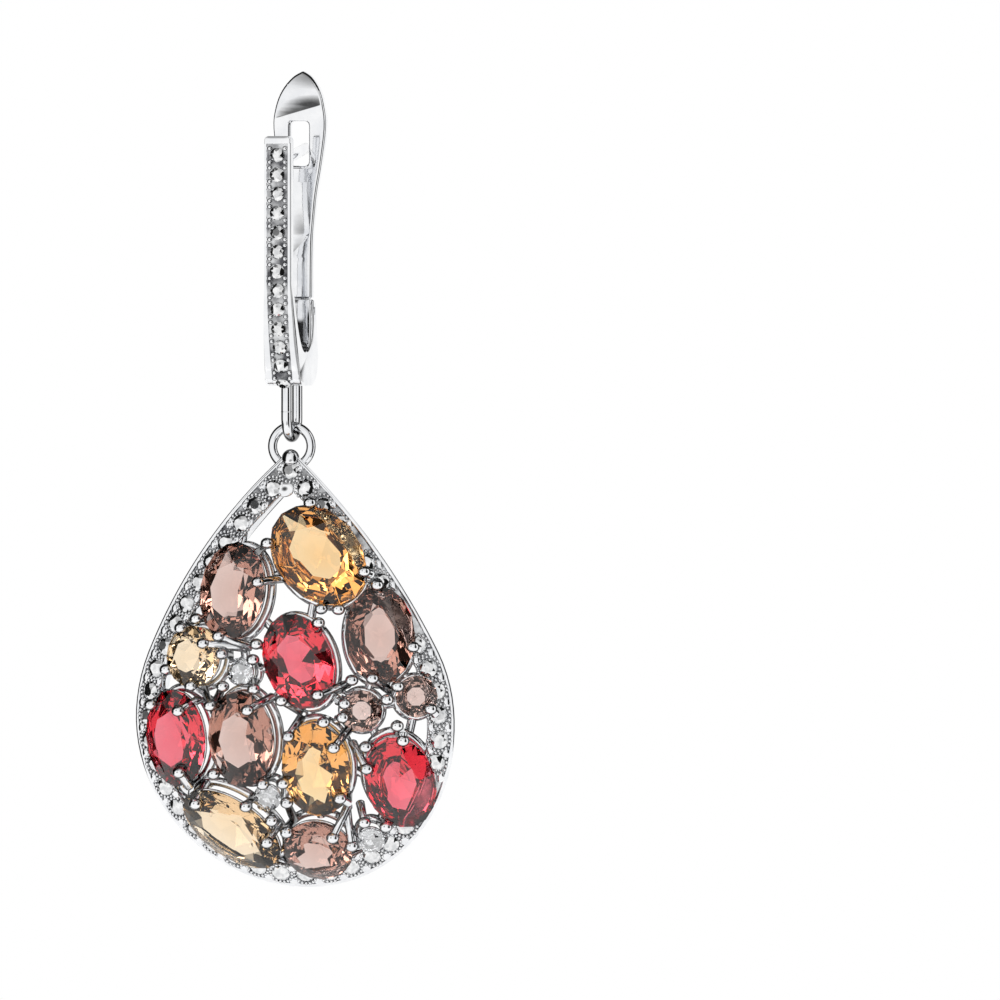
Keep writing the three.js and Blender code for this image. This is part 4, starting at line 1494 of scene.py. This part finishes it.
@dataclass
class Lock:
    """The lock: its bar, foot, ears and post in one casting, set with small stones."""

    ear_gap: float = 4.6
    bar_thickness: float = 0.75
    bar_width: float = 1.9
    bar_top: float = 1.5
    bar_straight: float = 10.5
    foot_drop: float = 7.2
    foot_width: float = 2.6
    foot_setback: float = 1.25
    foot_thickness: float = 2.4
    front_radius: float = 0.8
    rear_radius: float = 2.2
    lever_thickness: float = 0.9
    hinge_above_foot: float = 5.3
    strip_width: float = 1.5
    strip_top: float = 0.56
    strip_depth: float = 0.13
    top_corner: float = 0.32
    strip_rise: float = 0.25
    strip_overlap: float = 0.06
    lip_end: float = 0.05
    floor_end: float = 0.26
    pad_depth: float = 0.4
    stone: Cut = Cut(1.05, 1.05, table=0.5, crown=0.2)
    stone_count: int = 13
    stone_margin: float = 1.35
    grain_radius: float = 0.17
    grain_shift: float = 0.7
    grain_side: float = 0.56
    grain_sink: float = 0.04
    edge: float = 0.12
    eye_edge: float = 0.08
    pocket_edge: float = 0.15
    pad_edge: float = 0.06
    cover_edge: float = 0.08
    ear_shoulder: float = 0.5
    ear_top: float = 0.82
    ear_flat: float = 0.25
    cover_rise: float = 0.85
    cover_thickness: float = 0.2
    hinge_pin: tuple[float, float] = (0.28, 0.1)
    hinge_pin_edge: float = 0.05
    cross_pin_radius: float = 0.35
    cross_pin_rise: float = 0.42
    post_radius: float = 0.4
    post_past_lever: float = 1.0
    post_rise: float = 9.0
    eye_radius: float = 0.72
    tongue_width: float = 0.9
    side_clearance: float = 0.08
    pocket_half: tuple[float, float] = (0.79, 1.89)
    pocket_top: float = -14.48
    pocket_past: float = 1.0
    link_y: float = 0.5

    @property
    def back_y(self) -> float:
        """The back of the bar."""
        return -self.ear_gap / 2

    @property
    def front_y(self) -> float:
        """The front of the bar."""
        return self.back_y - self.bar_thickness

    @property
    def lever_y(self) -> tuple[float, float]:
        """The front and back of the lever."""
        return self.ear_gap / 2, self.ear_gap / 2 + self.lever_thickness

    @property
    def bend_z(self) -> float:
        """The height at which the bar starts to curve back."""
        return self.bar_top - self.bar_straight

    @property
    def foot_z(self) -> float:
        """The foot's underside."""
        return self.bend_z - self.foot_drop

    @property
    def hinge(self) -> Vector:
        """The middle of the hinge pin."""
        return beside(sum(self.lever_y) / 2, self.foot_z + self.hinge_above_foot)

    def build(self) -> None:
        """Builds and dresses the lock."""
        for make, finish, slot, smooth in (
            (self.casting, SILVER, Slot.SILVER, CRISP),
            (self.floor, MATT_FLOOR_PAINTED_SHADE, Slot.SILVER, CRISP),
            (self.strip_grains, EDGE_SHADED_BRIGHT_CUT, Slot.SILVER, SOFT),
            (self.strip_stones, SMALL_STONE, Slot.CLEAR, FACETED),
        ):
            done(make(), finish, Body.LOCK, slot, ["lock_front"], smooth)

    def front_path(self, y: float) -> list[Vector]:
        """The front face in side view, from its top down and round under the foot.

        Args:
            y: The depth of the straight stretch.

        Returns:
            The points of the path.
        """
        foot_y = y + self.foot_setback
        bend = beside(y, self.bend_z)
        corner = beside(foot_y, self.foot_z + self.front_radius)
        bulge = beside(y + self.foot_setback * 0.1, self.bend_z - self.foot_drop * 0.5)
        under = beside(foot_y + self.front_radius, self.foot_z)
        return [beside(y, self.bar_top), bend, *bezier(bend, bulge, corner),
                *bezier(corner, beside(foot_y, self.foot_z), under)]

    def ground_line(self) -> list[Vector]:
        """The front face of the strip in side view."""
        return self.front_path(self.front_y - self.strip_rise)

    def flare(self, z: float) -> float:
        """The lock's width as a share of the bar's, wider towards the foot."""
        down = max(0.0, (self.bend_z - z) / self.foot_drop)
        return 1 + (self.foot_width / self.bar_width - 1) * down

    def side_outline(self) -> list[Vector]:
        """The casting's outline in side view: the front, the foot, the ears and the back.

        Returns:
            The outline's corners in order.
        """
        lever_front, lever_back = self.lever_y
        notch = self.foot_z + self.foot_thickness
        hinge = self.hinge
        heel = beside(lever_back - self.rear_radius, self.foot_z)
        heel_bend = beside(lever_back - self.rear_radius * 0.25, self.foot_z)
        ear = beside(lever_front, hinge.z)
        middle = beside(0, notch)
        return [
            *self.front_path(self.front_y - self.strip_rise + self.strip_depth),
            heel, *bezier(heel, heel_bend, beside(lever_back, self.foot_z + self.rear_radius)),
            beside(lever_back, hinge.z + self.ear_shoulder),
            beside(hinge.y + self.ear_flat, hinge.z + self.ear_top),
            beside(hinge.y - self.ear_flat, hinge.z + self.ear_top),
            beside(lever_front, hinge.z + self.ear_shoulder),
            ear, *bezier(ear, beside(lever_front * 0.75, notch), middle),
            *bezier(middle, beside(self.back_y * 0.7, notch), beside(self.back_y, self.bend_z), 16),
            beside(self.back_y, self.bar_top),
        ]

    def slab(self, name: str, outline: Sequence[Vector], half: float) -> Piece:
        """Pulls a side outline out across the lock, wider towards the foot.

        Args:
            name: The new piece's name.
            outline: The outline in side view.
            half: Half the width at the straight stretch.

        Returns:
            The slab.
        """
        piece = drawn(name, [at - Vector((half, 0, 0)) for at in outline])
        extruded(piece, Vector((half * 2, 0, 0)))
        placed_by(piece, lambda at: Vector((at.x * self.flare(at.z), at.y, at.z)))
        return piece

    def casting(self) -> Piece:
        """Makes the bar, the foot with its pocket, the ears, the cross pin and the post.

        Returns:
            The whole casting.
        """
        body = self.slab("lock_casting", self.side_outline(), self.bar_width / 2)
        self.round_corners(body)
        rounded(body, self.edge, segments=4, sharper_than=50)
        knuckle = self.bar_width * self.flare(self.hinge.z) - self.side_clearance * 2
        cut(body, cylinder_x(self.eye_radius, knuckle, self.hinge, self.eye_edge), "UNION")
        room = self.eye_radius + self.side_clearance
        slot_half = self.tongue_width / 2 + self.side_clearance
        cut(body, block(self.hinge, Vector((slot_half, room, room))))
        pocket_x, pocket_y = self.pocket_half
        pocket_z = (self.pocket_top + self.foot_z - self.pocket_past) / 2
        pocket = Vector((pocket_x, pocket_y, self.pocket_top - pocket_z))
        cut(body, block(beside(self.link_y, pocket_z), pocket, self.pocket_edge))
        return joined("lock_casting", [
            body, self.pins(), self.post(), self.hinge_cover(), self.lip(-1), self.lip(1),
            self.top_pad()])

    def lip(self, side: int) -> Piece:
        """Makes the polished border on one side of the channel.

        Args:
            side: The side, -1 for the left or 1 for the right.

        Returns:
            The border.
        """
        inner, outer = self.strip_width / 2, self.bar_width / 2
        section = (
            (inner, -0.3), (inner, -0.03), (inner + 0.03, 0), (outer - 0.08, 0),
            (outer - 0.01, -0.03), (outer + 0.01, -0.1), (outer + 0.01, -0.3),
        )
        ends = (self.strip_top - self.strip_overlap, self.lip_end)

        def across_at(across: float, z: float) -> float:
            """The place across, where only the outer side widens towards the foot."""
            return side * across * (1 if across < inner + 0.01 else self.flare(z))

        return self.along_front("lip", section, 90, ends, across_at)

    def along_front(
        self, name: str, section: Sequence[tuple[float, float]], steps: int,
        ends: tuple[float, float], across_at: Callable[[float, float], float],
    ) -> Piece:
        """Sweeps a section down the front of the lock.

        Args:
            name: The new piece's name.
            section: The corners of the section, each across and up.
            steps: The number of lengths that it is divided into.
            ends: The distances left free at the top and at the bottom.
            across_at: Gives the place across of a distance across at a height.

        Returns:
            The swept piece.
        """
        length = self.front_length()
        start, end = ends[0] / length, 1 - ends[1] / length

        def path(share: float, across: float, up: float) -> Vector:
            """A point of the piece."""
            at = self.strip_path(start + (end - start) * share, 0, up)
            return at + Vector((across_at(across, at.z), 0, 0))

        return swept(name, section, steps, path, False)

    def top_pad(self) -> Piece:
        """Makes the plain pad above the channel, with round upper corners.

        Returns:
            The pad.
        """
        front = self.front_y - self.strip_rise
        half = Vector((self.bar_width / 2, self.pad_depth / 2, self.strip_top / 2))
        pad = block(Vector((0, front + half.y - 0.01, self.bar_top - half.z)), half)
        self.round_corners(pad)
        rounded(pad, self.pad_edge, segments=4, sharper_than=50)
        return pad

    def round_corners(self, piece: Piece) -> None:
        """Rounds the two upper corners, seen from the front.

        Args:
            piece: The piece to round.
        """
        side = self.bar_width / 2 - 0.01
        with editing(piece, Pick.EDGE):
            choose(piece, Pick.EDGE, lambda at: abs(at.x) > side and at.z > self.bar_top - 0.01)
            bpy.ops.mesh.bevel(offset=self.top_corner, segments=6, affect="EDGES")

    def hinge_cover(self) -> Piece:
        """Makes the thin wall in front of the hinge, the notch's smooth rear side.

        Returns:
            The wall.
        """
        top, foot = self.hinge.z + self.cover_rise, self.foot_z + self.foot_thickness
        back = beside(self.lever_y[0] - 0.4, top)
        front = back - beside(self.cover_thickness, 0)
        low = beside(0.2, foot)
        outline = [back, front, *bezier(front, beside(front.y * 0.95, foot + 0.1), low, 20),
                   low + beside(0.3, -0.3), beside(back.y, foot - 0.2)]
        cover = self.slab("hinge_cover", outline, self.bar_width / 2 - 0.02)
        rounded(cover, self.cover_edge, sharper_than=50)
        return cover

    def pins(self) -> Piece:
        """Makes the hinge pin and the cross pin that the link hangs on.

        Returns:
            The pins.
        """
        radius, proud = self.hinge_pin
        width = self.bar_width * self.flare(self.hinge.z) + proud
        hinge_pin = cylinder_x(radius, width, self.hinge, self.hinge_pin_edge)
        at = beside(self.link_y, self.foot_z + self.cross_pin_rise)
        return joined("pins", [hinge_pin, cylinder_x(self.cross_pin_radius, self.bar_width, at)])

    def post(self) -> Piece:
        """Makes the ear post with its rounded end.

        Returns:
            The post.
        """
        rise = math.radians(self.post_rise)
        along = beside(math.cos(rise), math.sin(rise))
        start = along * (self.back_y - self.bar_thickness / 2)
        end = along * (self.lever_y[1] + self.post_past_lever)
        radius = self.post_radius
        length = (end - start).length
        profile = ((0, 0), (radius, 0), (radius, length - 0.15), (radius * 0.9, length),
                   (radius * 0.6, length + 0.15), (0, length + 0.2))
        post = turned("post", profile, 32)
        placed_by(post, lambda at: between(start, end, False) @ at)
        return post

    def strip_path(self, share: float, across: float, up: float) -> Vector:
        """A point over the strip's ground line: a share of the way down, across and out.

        Args:
            share: The share of the way down, from 0 to 1.
            across: Distance across.
            up: Distance out.

        Returns:
            The point.
        """
        walk = share * self.front_length()
        points = self.ground_line()
        for before, after in pairwise(points):
            length = (after - before).length
            if walk <= length or after is points[-1]:
                break
            walk -= length
        way = (after - before).normalized()
        return before + way * walk + beside(way.z, -way.y) * up + Vector((across, 0, 0))

    def strip_frame(self, share: float, across: float, up: float) -> Matrix:
        """A place on the strip whose Z leaves it.

        Args:
            share: The share of the way down, from 0 to 1.
            across: Distance across.
            up: Distance out.

        Returns:
            The place.
        """
        at = self.strip_path(share, across, up)
        out = (self.strip_path(share, 0, 1) - self.strip_path(share, 0, 0)).normalized()
        side = Vector((1, 0, 0))
        axes = Matrix((side, out.cross(side), out)).transposed().to_4x4()
        return Matrix.Translation(at) @ axes

    def floor(self) -> Piece:
        """Makes the channel's pricked floor between the small stones, mottled and dark with painted
        shade.

        Returns:
            The floor.
        """
        half, top = self.strip_width / 2 - 0.01, 0.02 - self.strip_depth
        foot = -self.strip_depth - 0.2
        section = ((-half, foot), (-half, top), (half, top), (half, foot))
        ends = (self.strip_top + 0.01, self.floor_end)
        return self.along_front("channel_floor", section, 80, ends, lambda across, z: across)

    def front_length(self) -> float:
        """The length of the front's path."""
        return sum((after - before).length for before, after in pairwise(self.ground_line()))

    def stone_shares(self) -> list[float]:
        """The shares of the strip's length at which its stones sit.

        Returns:
            The shares in order.
        """
        length = self.front_length()
        first, last = self.stone_margin, length - self.stone.length / 2
        step = (last - first) / (self.stone_count - 1)
        return [(first + step * i) / length for i in range(self.stone_count)]

    def strip_stones(self) -> Piece:
        """Sets the strip's stones."""
        places = [self.strip_frame(s, 0, 0.0) for s in self.stone_shares()]
        return repeated("lock_stones", self.stone.cut("lock_stone"), hand_set(places))

    def strip_grains(self) -> Piece:
        """Raises two grains on each side between neighbouring stones.

        Returns:
            The grains.
        """
        grain = sphere("grain", self.grain_radius, segments=14, rings=9)
        shares = self.stone_shares()
        shift = (shares[1] - shares[0]) / 2 * self.grain_shift
        rows = [share + way * shift for share in shares for way in (-1, 1)]
        places = [self.strip_frame(row, side * self.grain_side, -self.grain_sink)
                  for row in rows if 0 < row < shares[-1] for side in (-1, 1)]
        return repeated("lock_grains", grain, places)


@dataclass
class Lever:
    """The lever: a leaf-shaped blade with a window for the post and an eye on the hinge."""

    height: float = 17.0
    half_width: float = 1.92
    thickness: float = 0.9
    front_y: float = 2.3
    hinge_z: float = -10.9
    eye_radius: float = 0.72
    tongue_width: float = 0.9
    shoulder_clearance: float = 0.15
    shoulder_share: float = 0.5
    edge: float = 0.2
    slices: int = 70
    first_slice: float = 0.05
    crease_half: float = 0.02
    tongue_gap: float = 0.03
    tongue_edge: float = 0.06
    pin_hole: float = 0.35
    smooth: float = 50.0
    window_corner: float = 0.3
    window_half: float = 0.7
    window_top: float = 2.55
    window_bottom: float = -0.6
    tip_back: float = 0.5
    tip_from: float = 3.25
    crease_slant: float = 0.28
    crease_lean: float = 0.14
    hollow_from: float = 0.5
    hollow_to: float = -6.4
    hollow_slant: float = 1.1
    hollow_lean: float = 0.12
    sections: tuple[tuple[float, float], ...] = (
        (0.28, 0.52), (0.43, 0.6), (0.51, 0.68), (0.61, 0.83), (0.76, 1.0), (0.85, 0.94),
        (0.92, 0.74), (0.975, 0.38), (1.0, 0.03),
    )

    def build(self) -> None:
        """Builds and dresses the lever."""
        done(self.blade(), SILVER, Body.LEVER, Slot.SILVER, ["lever"], self.smooth)

    @property
    def shoulder_z(self) -> float:
        """The height of the blade's shoulder."""
        return self.hinge_z + self.eye_radius + self.shoulder_clearance

    @property
    def middle_y(self) -> float:
        """The middle of the blade's thickness."""
        return self.front_y + self.thickness / 2

    def side_points(self) -> list[Vector]:
        """The right edge of the blade from its shoulder to its tip, as a smooth curve.

        Returns:
            The points of the curve.
        """
        rows = [Vector((self.half_width * self.shoulder_share, 0, self.shoulder_z))]
        rows += [Vector((half * self.half_width, 0, self.hinge_z + high * self.height))
                 for high, half in self.sections]
        return smooth_through(rows, 4)

    def blade(self) -> Piece:
        """Makes the blade, cuts its window and joins the eye.

        Returns:
            The blade with its tongue.
        """
        right = self.side_points()
        left = [Vector((-at.x, 0, at.z)) for at in reversed(right)]
        shift = Vector((0, self.front_y, 0))
        blade = drawn("lever_blade", [at + shift for at in right + left])
        extruded(blade, Vector((0, self.thickness, 0)))
        middle_z = (self.window_top + self.window_bottom) / 2
        window = Vector((self.window_half, self.thickness, self.window_top - middle_z))
        cut(blade, block(beside(self.middle_y, middle_z), window, self.window_corner))
        rounded(blade, self.edge, segments=4, sharper_than=50)
        span = 1 - self.first_slice
        planes = [(self.hinge_z + self.height * (self.first_slice + span * i / self.slices), 0.0)
                  for i in range(self.slices)]
        planes += [(height + step, slant)
                   for height, slant in ((self.tip_from, self.crease_slant),
                                         (self.hollow_to, self.hollow_slant))
                   for step in (-self.crease_half, self.crease_half)]
        with editing(blade):
            for height, slant in planes:
                bpy.ops.mesh.select_all(action="SELECT")
                bpy.ops.mesh.bisect(plane_co=(0, 0, height), plane_no=(-slant, 0, 1))
        placed_by(blade, self.bent)
        return joined("lever_blade", [blade, self.tongue()])

    def tongue(self) -> Piece:
        """Makes the tongue under the blade and its eye on the hinge pin.

        Returns:
            The tongue.
        """
        top = self.shoulder_z + self.thickness
        half = Vector((self.tongue_width / 2, self.thickness / 2 - self.tongue_gap,
                       (top - self.hinge_z) / 2))
        tongue = block(beside(self.middle_y, (self.hinge_z + top) / 2), half, self.tongue_edge)
        hinge = beside(self.middle_y, self.hinge_z)
        cut(tongue, cylinder_x(self.eye_radius, self.tongue_width, hinge, self.tongue_edge), "UNION")
        cut(tongue, cylinder_x(self.pin_hole, self.tongue_width * 2, hinge))
        return tongue

    def bent(self, at: Vector) -> Vector:
        """Bends the blade's tip back above a slanted crease and hollows it gently below.

        Args:
            at: The vertex's place on the flat blade.

        Returns:
            The vertex's place on the bent blade.
        """
        crease = self.tip_from + self.crease_slant * at.x
        above = max(0.0, (at.z - crease) / (self.hinge_z + self.height - crease))
        lean = self.crease_lean * max(0.0, at.z - crease)
        low = self.hollow_to + self.hollow_slant * at.x
        span = self.hollow_from - low
        below = min(1.0, max(0.0, (self.hollow_from - at.z) / span))
        sunk = self.hollow_lean * span * below**3 / 3
        return Vector((at.x, at.y + lean + self.tip_back * above**2 - sunk, at.z))


@dataclass
class Link:
    """The jump ring between lock and drop: round wire bent into an upright oval."""

    wire: float = 0.74
    depth: float = 2.8
    height: float = 4.85
    middle_y: float = 0.5
    top_z: float = -14.99
    seam_z: float = -18.05
    seam_wire: float = 0.035
    seam_sunk: float = 0.01

    def build(self) -> None:
        """Builds and dresses the link."""
        straight = self.height - self.depth
        bottom = self.top_z - self.height + self.depth / 2
        link = wire_ring(
            "oval_link", (0, self.middle_y, bottom), self.depth / 2, self.wire / 2,
            steps=(64, 24), turn=(0, math.pi / 2, 0))
        with editing(link):
            choose(link, Pick.VERT, lambda at: at.z > bottom + 0.01)
            bpy.ops.transform.translate(value=(0, 0, straight))
        done(joined("oval_link", [link, self.seam()]), EDGE_SHADED_WIRE, Body.LINK, Slot.SILVER, ["link"])

    def seam(self) -> Piece:
        """Makes the soldered seam, a thin raised collar on the front wire.

        Returns:
            The seam.
        """
        front = (0, self.middle_y - self.depth / 2, self.seam_z)
        radius = self.wire / 2 - self.seam_sunk
        return wire_ring("seam", front, radius, self.seam_wire, steps=(32, 8))


@dataclass(frozen=True)
class Patch:
    """A round patch of the surroundings, seen from the earring.

    Directions are degrees right of the way to the camera and above level. Within the inner angle
    the patch has its own brightness, and it fades out to the outer angle.
    """

    right: float
    above: float
    inner: float
    outer: float
    brightness: float


@dataclass(frozen=True)
class Sky:
    """One set of surroundings: its own brightness and the patches laid over it in order."""

    brightness: float
    patches: tuple[Patch, ...]


@dataclass
class Studio:
    """A pale floor, an even white studio with dark gaps, and the camera."""

    for_metal: Sky = Sky(1.0, (
        Patch(0, 0, 138, 142, 0.01),
        Patch(0, -10, 80, 86, 0.75),
        Patch(-30, 0, 40, 58, 1.0),
        Patch(84, 0, 52, 54, 0.01),
        Patch(86, 30, 17, 19, 0.98),
        Patch(86, 8, 17, 19, 0.98),
        Patch(86, -14, 17, 19, 0.98),
        Patch(86, -36, 17, 19, 0.98),
        Patch(122, 0, 8, 13, 0.5),
        Patch(0, 104, 30, 36, 0.02),
        Patch(-34, 19, 5, 15, 0.08),
        Patch(-42, 60, 6, 20, 0.3),
        Patch(-88, -25, 10, 16, 0.1),
        Patch(10, -30, 8, 16, 0.35),
    ))
    for_stones: Sky = Sky(1.0, (
        Patch(0, 0, 138, 142, 0.03),
        Patch(0, 60, 18, 22, 1.6),
        Patch(-60, 10, 16, 20, 1.4),
        Patch(40, 25, 12, 15, 2.6),
        Patch(60, -30, 18, 22, 1.0),
        Patch(-20, -45, 14, 18, 0.8),
        Patch(-25, 20, 8, 11, 2.2),
        Patch(10, -12, 7, 9, 1.0),
        Patch(110, 20, 16, 20, 1.2),
        Patch(-110, 30, 18, 22, 1.0),
        Patch(100, -50, 16, 20, 1.0),
        Patch(-100, -40, 14, 18, 1.4),
    ))
    turn: float = 16.0
    frame_height: float = 70.9
    centre_right: float = 14.9
    centre_z: float = -24.3
    distance: float = 600.0
    clip: tuple[float, float] = (0.01, 5.0)
    floor_z: float = -64.0
    floor_half: float = 60.0
    floor_shade: float = 0.85
    floor_rough: float = 0.8
    light_way: tuple[float, float, float] = (-0.35, -0.75, 0.65)
    light_distance: float = 500.0
    light_size: float = 300.0
    light_power: float = 1.2

    def towards_camera(self) -> Vector:
        """The level way from the earring to the camera."""
        angle = math.radians(self.turn)
        return Vector((math.sin(angle), -math.cos(angle), 0))

    def build(self) -> None:
        """Sets up the floor, the surroundings, a soft light and the camera."""
        bpy.context.scene.view_settings.view_transform = "Standard"
        self.floor()
        self.surroundings()
        self.soft_light()
        self.camera()

    def floor(self) -> None:
        """Lays the pale floor."""
        rest()
        bpy.ops.mesh.primitive_plane_add(
            size=self.floor_half * 2 * MM, location=(0, 0, self.floor_z * MM))
        floor = named("floor")
        paint = bpy.data.materials.new("pale_floor")
        paint.use_nodes = True
        shader = paint.node_tree.nodes["Principled BSDF"]
        shader.inputs["Base Color"].default_value = (*[self.floor_shade] * 3, 1)
        shader.inputs["Roughness"].default_value = self.floor_rough
        floor.data.materials.append(paint)

    def surroundings(self) -> None:
        """Paints the white studio that metal and stones reflect, with its dark gaps."""
        world = bpy.data.worlds.new("studio")
        bpy.context.scene.world = world
        world.use_nodes = True
        tree = world.node_tree
        nodes, links = tree.nodes, tree.links
        place = nodes.new("ShaderNodeTexCoord")
        seen = nodes.new("ShaderNodeLightPath")
        background = nodes["Background"]
        background.inputs["Strength"].default_value = 1.0
        metal = self.painted(tree, place.outputs["Generated"], self.for_metal)
        stones = self.painted(tree, place.outputs["Generated"], self.for_stones)
        through = self.chosen(tree, seen.outputs["Is Transmission Ray"], metal, stones)
        backdrop = nodes.new("ShaderNodeValue")
        backdrop.outputs[0].default_value = 1.0
        straight = self.chosen(tree, seen.outputs["Is Camera Ray"], through, backdrop.outputs[0])
        even = self.chosen(tree, seen.outputs["Is Diffuse Ray"], straight, backdrop.outputs[0])
        links.new(even, background.inputs["Color"])

    @staticmethod
    def chosen(
        tree: bpy.types.NodeTree, way: bpy.types.NodeSocket, first: bpy.types.NodeSocket,
        second: bpy.types.NodeSocket,
    ) -> bpy.types.NodeSocket:
        """Gives the first brightness, or the second where a socket reads one.

        Args:
            tree: The world's node tree.
            way: The socket that chooses.
            first: The socket with the first brightness.
            second: The socket with the second brightness.

        Returns:
            The socket with the brightness.
        """
        mix = tree.nodes.new("ShaderNodeMix")
        tree.links.new(way, mix.inputs["Factor"])
        tree.links.new(first, mix.inputs["A"])
        tree.links.new(second, mix.inputs["B"])
        return mix.outputs["Result"]

    def painted(
        self, tree: bpy.types.NodeTree, way: bpy.types.NodeSocket, sky: Sky,
    ) -> bpy.types.NodeSocket:
        """Lays a set of patches over one another and returns their brightness.

        Args:
            tree: The world's node tree.
            way: The socket with the direction that is looked in.
            sky: The surroundings to paint.

        Returns:
            The socket with the brightness.
        """
        brightness = tree.nodes.new("ShaderNodeValue")
        brightness.outputs[0].default_value = sky.brightness
        last = brightness.outputs[0]
        for patch in sky.patches:
            last = self.patched(tree, way, last, patch)
        return last

    def patched(
        self, tree: bpy.types.NodeTree, way: bpy.types.NodeSocket, under: bpy.types.NodeSocket,
        patch: Patch,
    ) -> bpy.types.NodeSocket:
        """Lays a patch over the brightness of the surroundings.

        Args:
            tree: The world's node tree.
            way: The socket with the direction that is looked in.
            under: The brightness so far.
            patch: The patch to add.

        Returns:
            The socket with the new brightness.
        """
        azimuth, height = math.radians(self.turn + patch.right), math.radians(patch.above)
        level = Vector((math.sin(azimuth), -math.cos(azimuth), 0))
        axis = level * math.cos(height) + Vector((0, 0, math.sin(height)))
        dot = tree.nodes.new("ShaderNodeVectorMath")
        dot.operation = "DOT_PRODUCT"
        dot.inputs[1].default_value = axis
        tree.links.new(way, dot.inputs[0])
        span = tree.nodes.new("ShaderNodeMapRange")
        span.inputs["From Min"].default_value = math.cos(math.radians(patch.outer))
        span.inputs["From Max"].default_value = math.cos(math.radians(patch.inner))
        tree.links.new(dot.outputs["Value"], span.inputs["Value"])
        mix = tree.nodes.new("ShaderNodeMix")
        tree.links.new(span.outputs["Result"], mix.inputs["Factor"])
        tree.links.new(under, mix.inputs["A"])
        mix.inputs["B"].default_value = patch.brightness
        return mix.outputs["Result"]

    def soft_light(self) -> None:
        """Hangs a wide soft light above and in front."""
        way = Vector(self.light_way).normalized()
        light = bpy.data.lights.new("soft_light", "AREA")
        light.size = self.light_size * MM
        light.energy = self.light_power
        lamp = bpy.data.objects.new("soft_light", light)
        lamp.location = (Vector((0, 0, self.centre_z)) + way * self.light_distance) * MM
        lamp.visible_glossy = False
        lamp.rotation_mode = "QUATERNION"
        lamp.rotation_quaternion = way.to_track_quat("Z", "Y")
        bpy.context.collection.objects.link(lamp)

    def camera(self) -> None:
        """Places the camera on the photograph's line of sight, with a very long lens."""
        back = self.towards_camera()
        right = Vector((-back.y, back.x, 0))
        lens = bpy.data.cameras.new("camera")
        lens.type = "ORTHO"
        lens.ortho_scale = self.frame_height * MM
        lens.clip_start, lens.clip_end = self.clip
        camera = bpy.data.objects.new("camera", lens)
        aim = right * self.centre_right + Vector((0, 0, self.centre_z))
        camera.location = (aim + back * self.distance) * MM
        camera.rotation_mode = "QUATERNION"
        camera.rotation_quaternion = (-back).to_track_quat("-Z", "Y")
        bpy.context.collection.objects.link(camera)
        bpy.context.scene.camera = camera


def main() -> None:
    """Builds the earring and its studio."""
    logging.basicConfig(level=logging.INFO, format="%(name)s: %(message)s")
    for assembly in (Studio(), Lock(), Lever(), Link(), Drop()):
        LOG.info("building %s", type(assembly).__name__.lower())
        assembly.build()


if __name__ == "__main__":
    main()
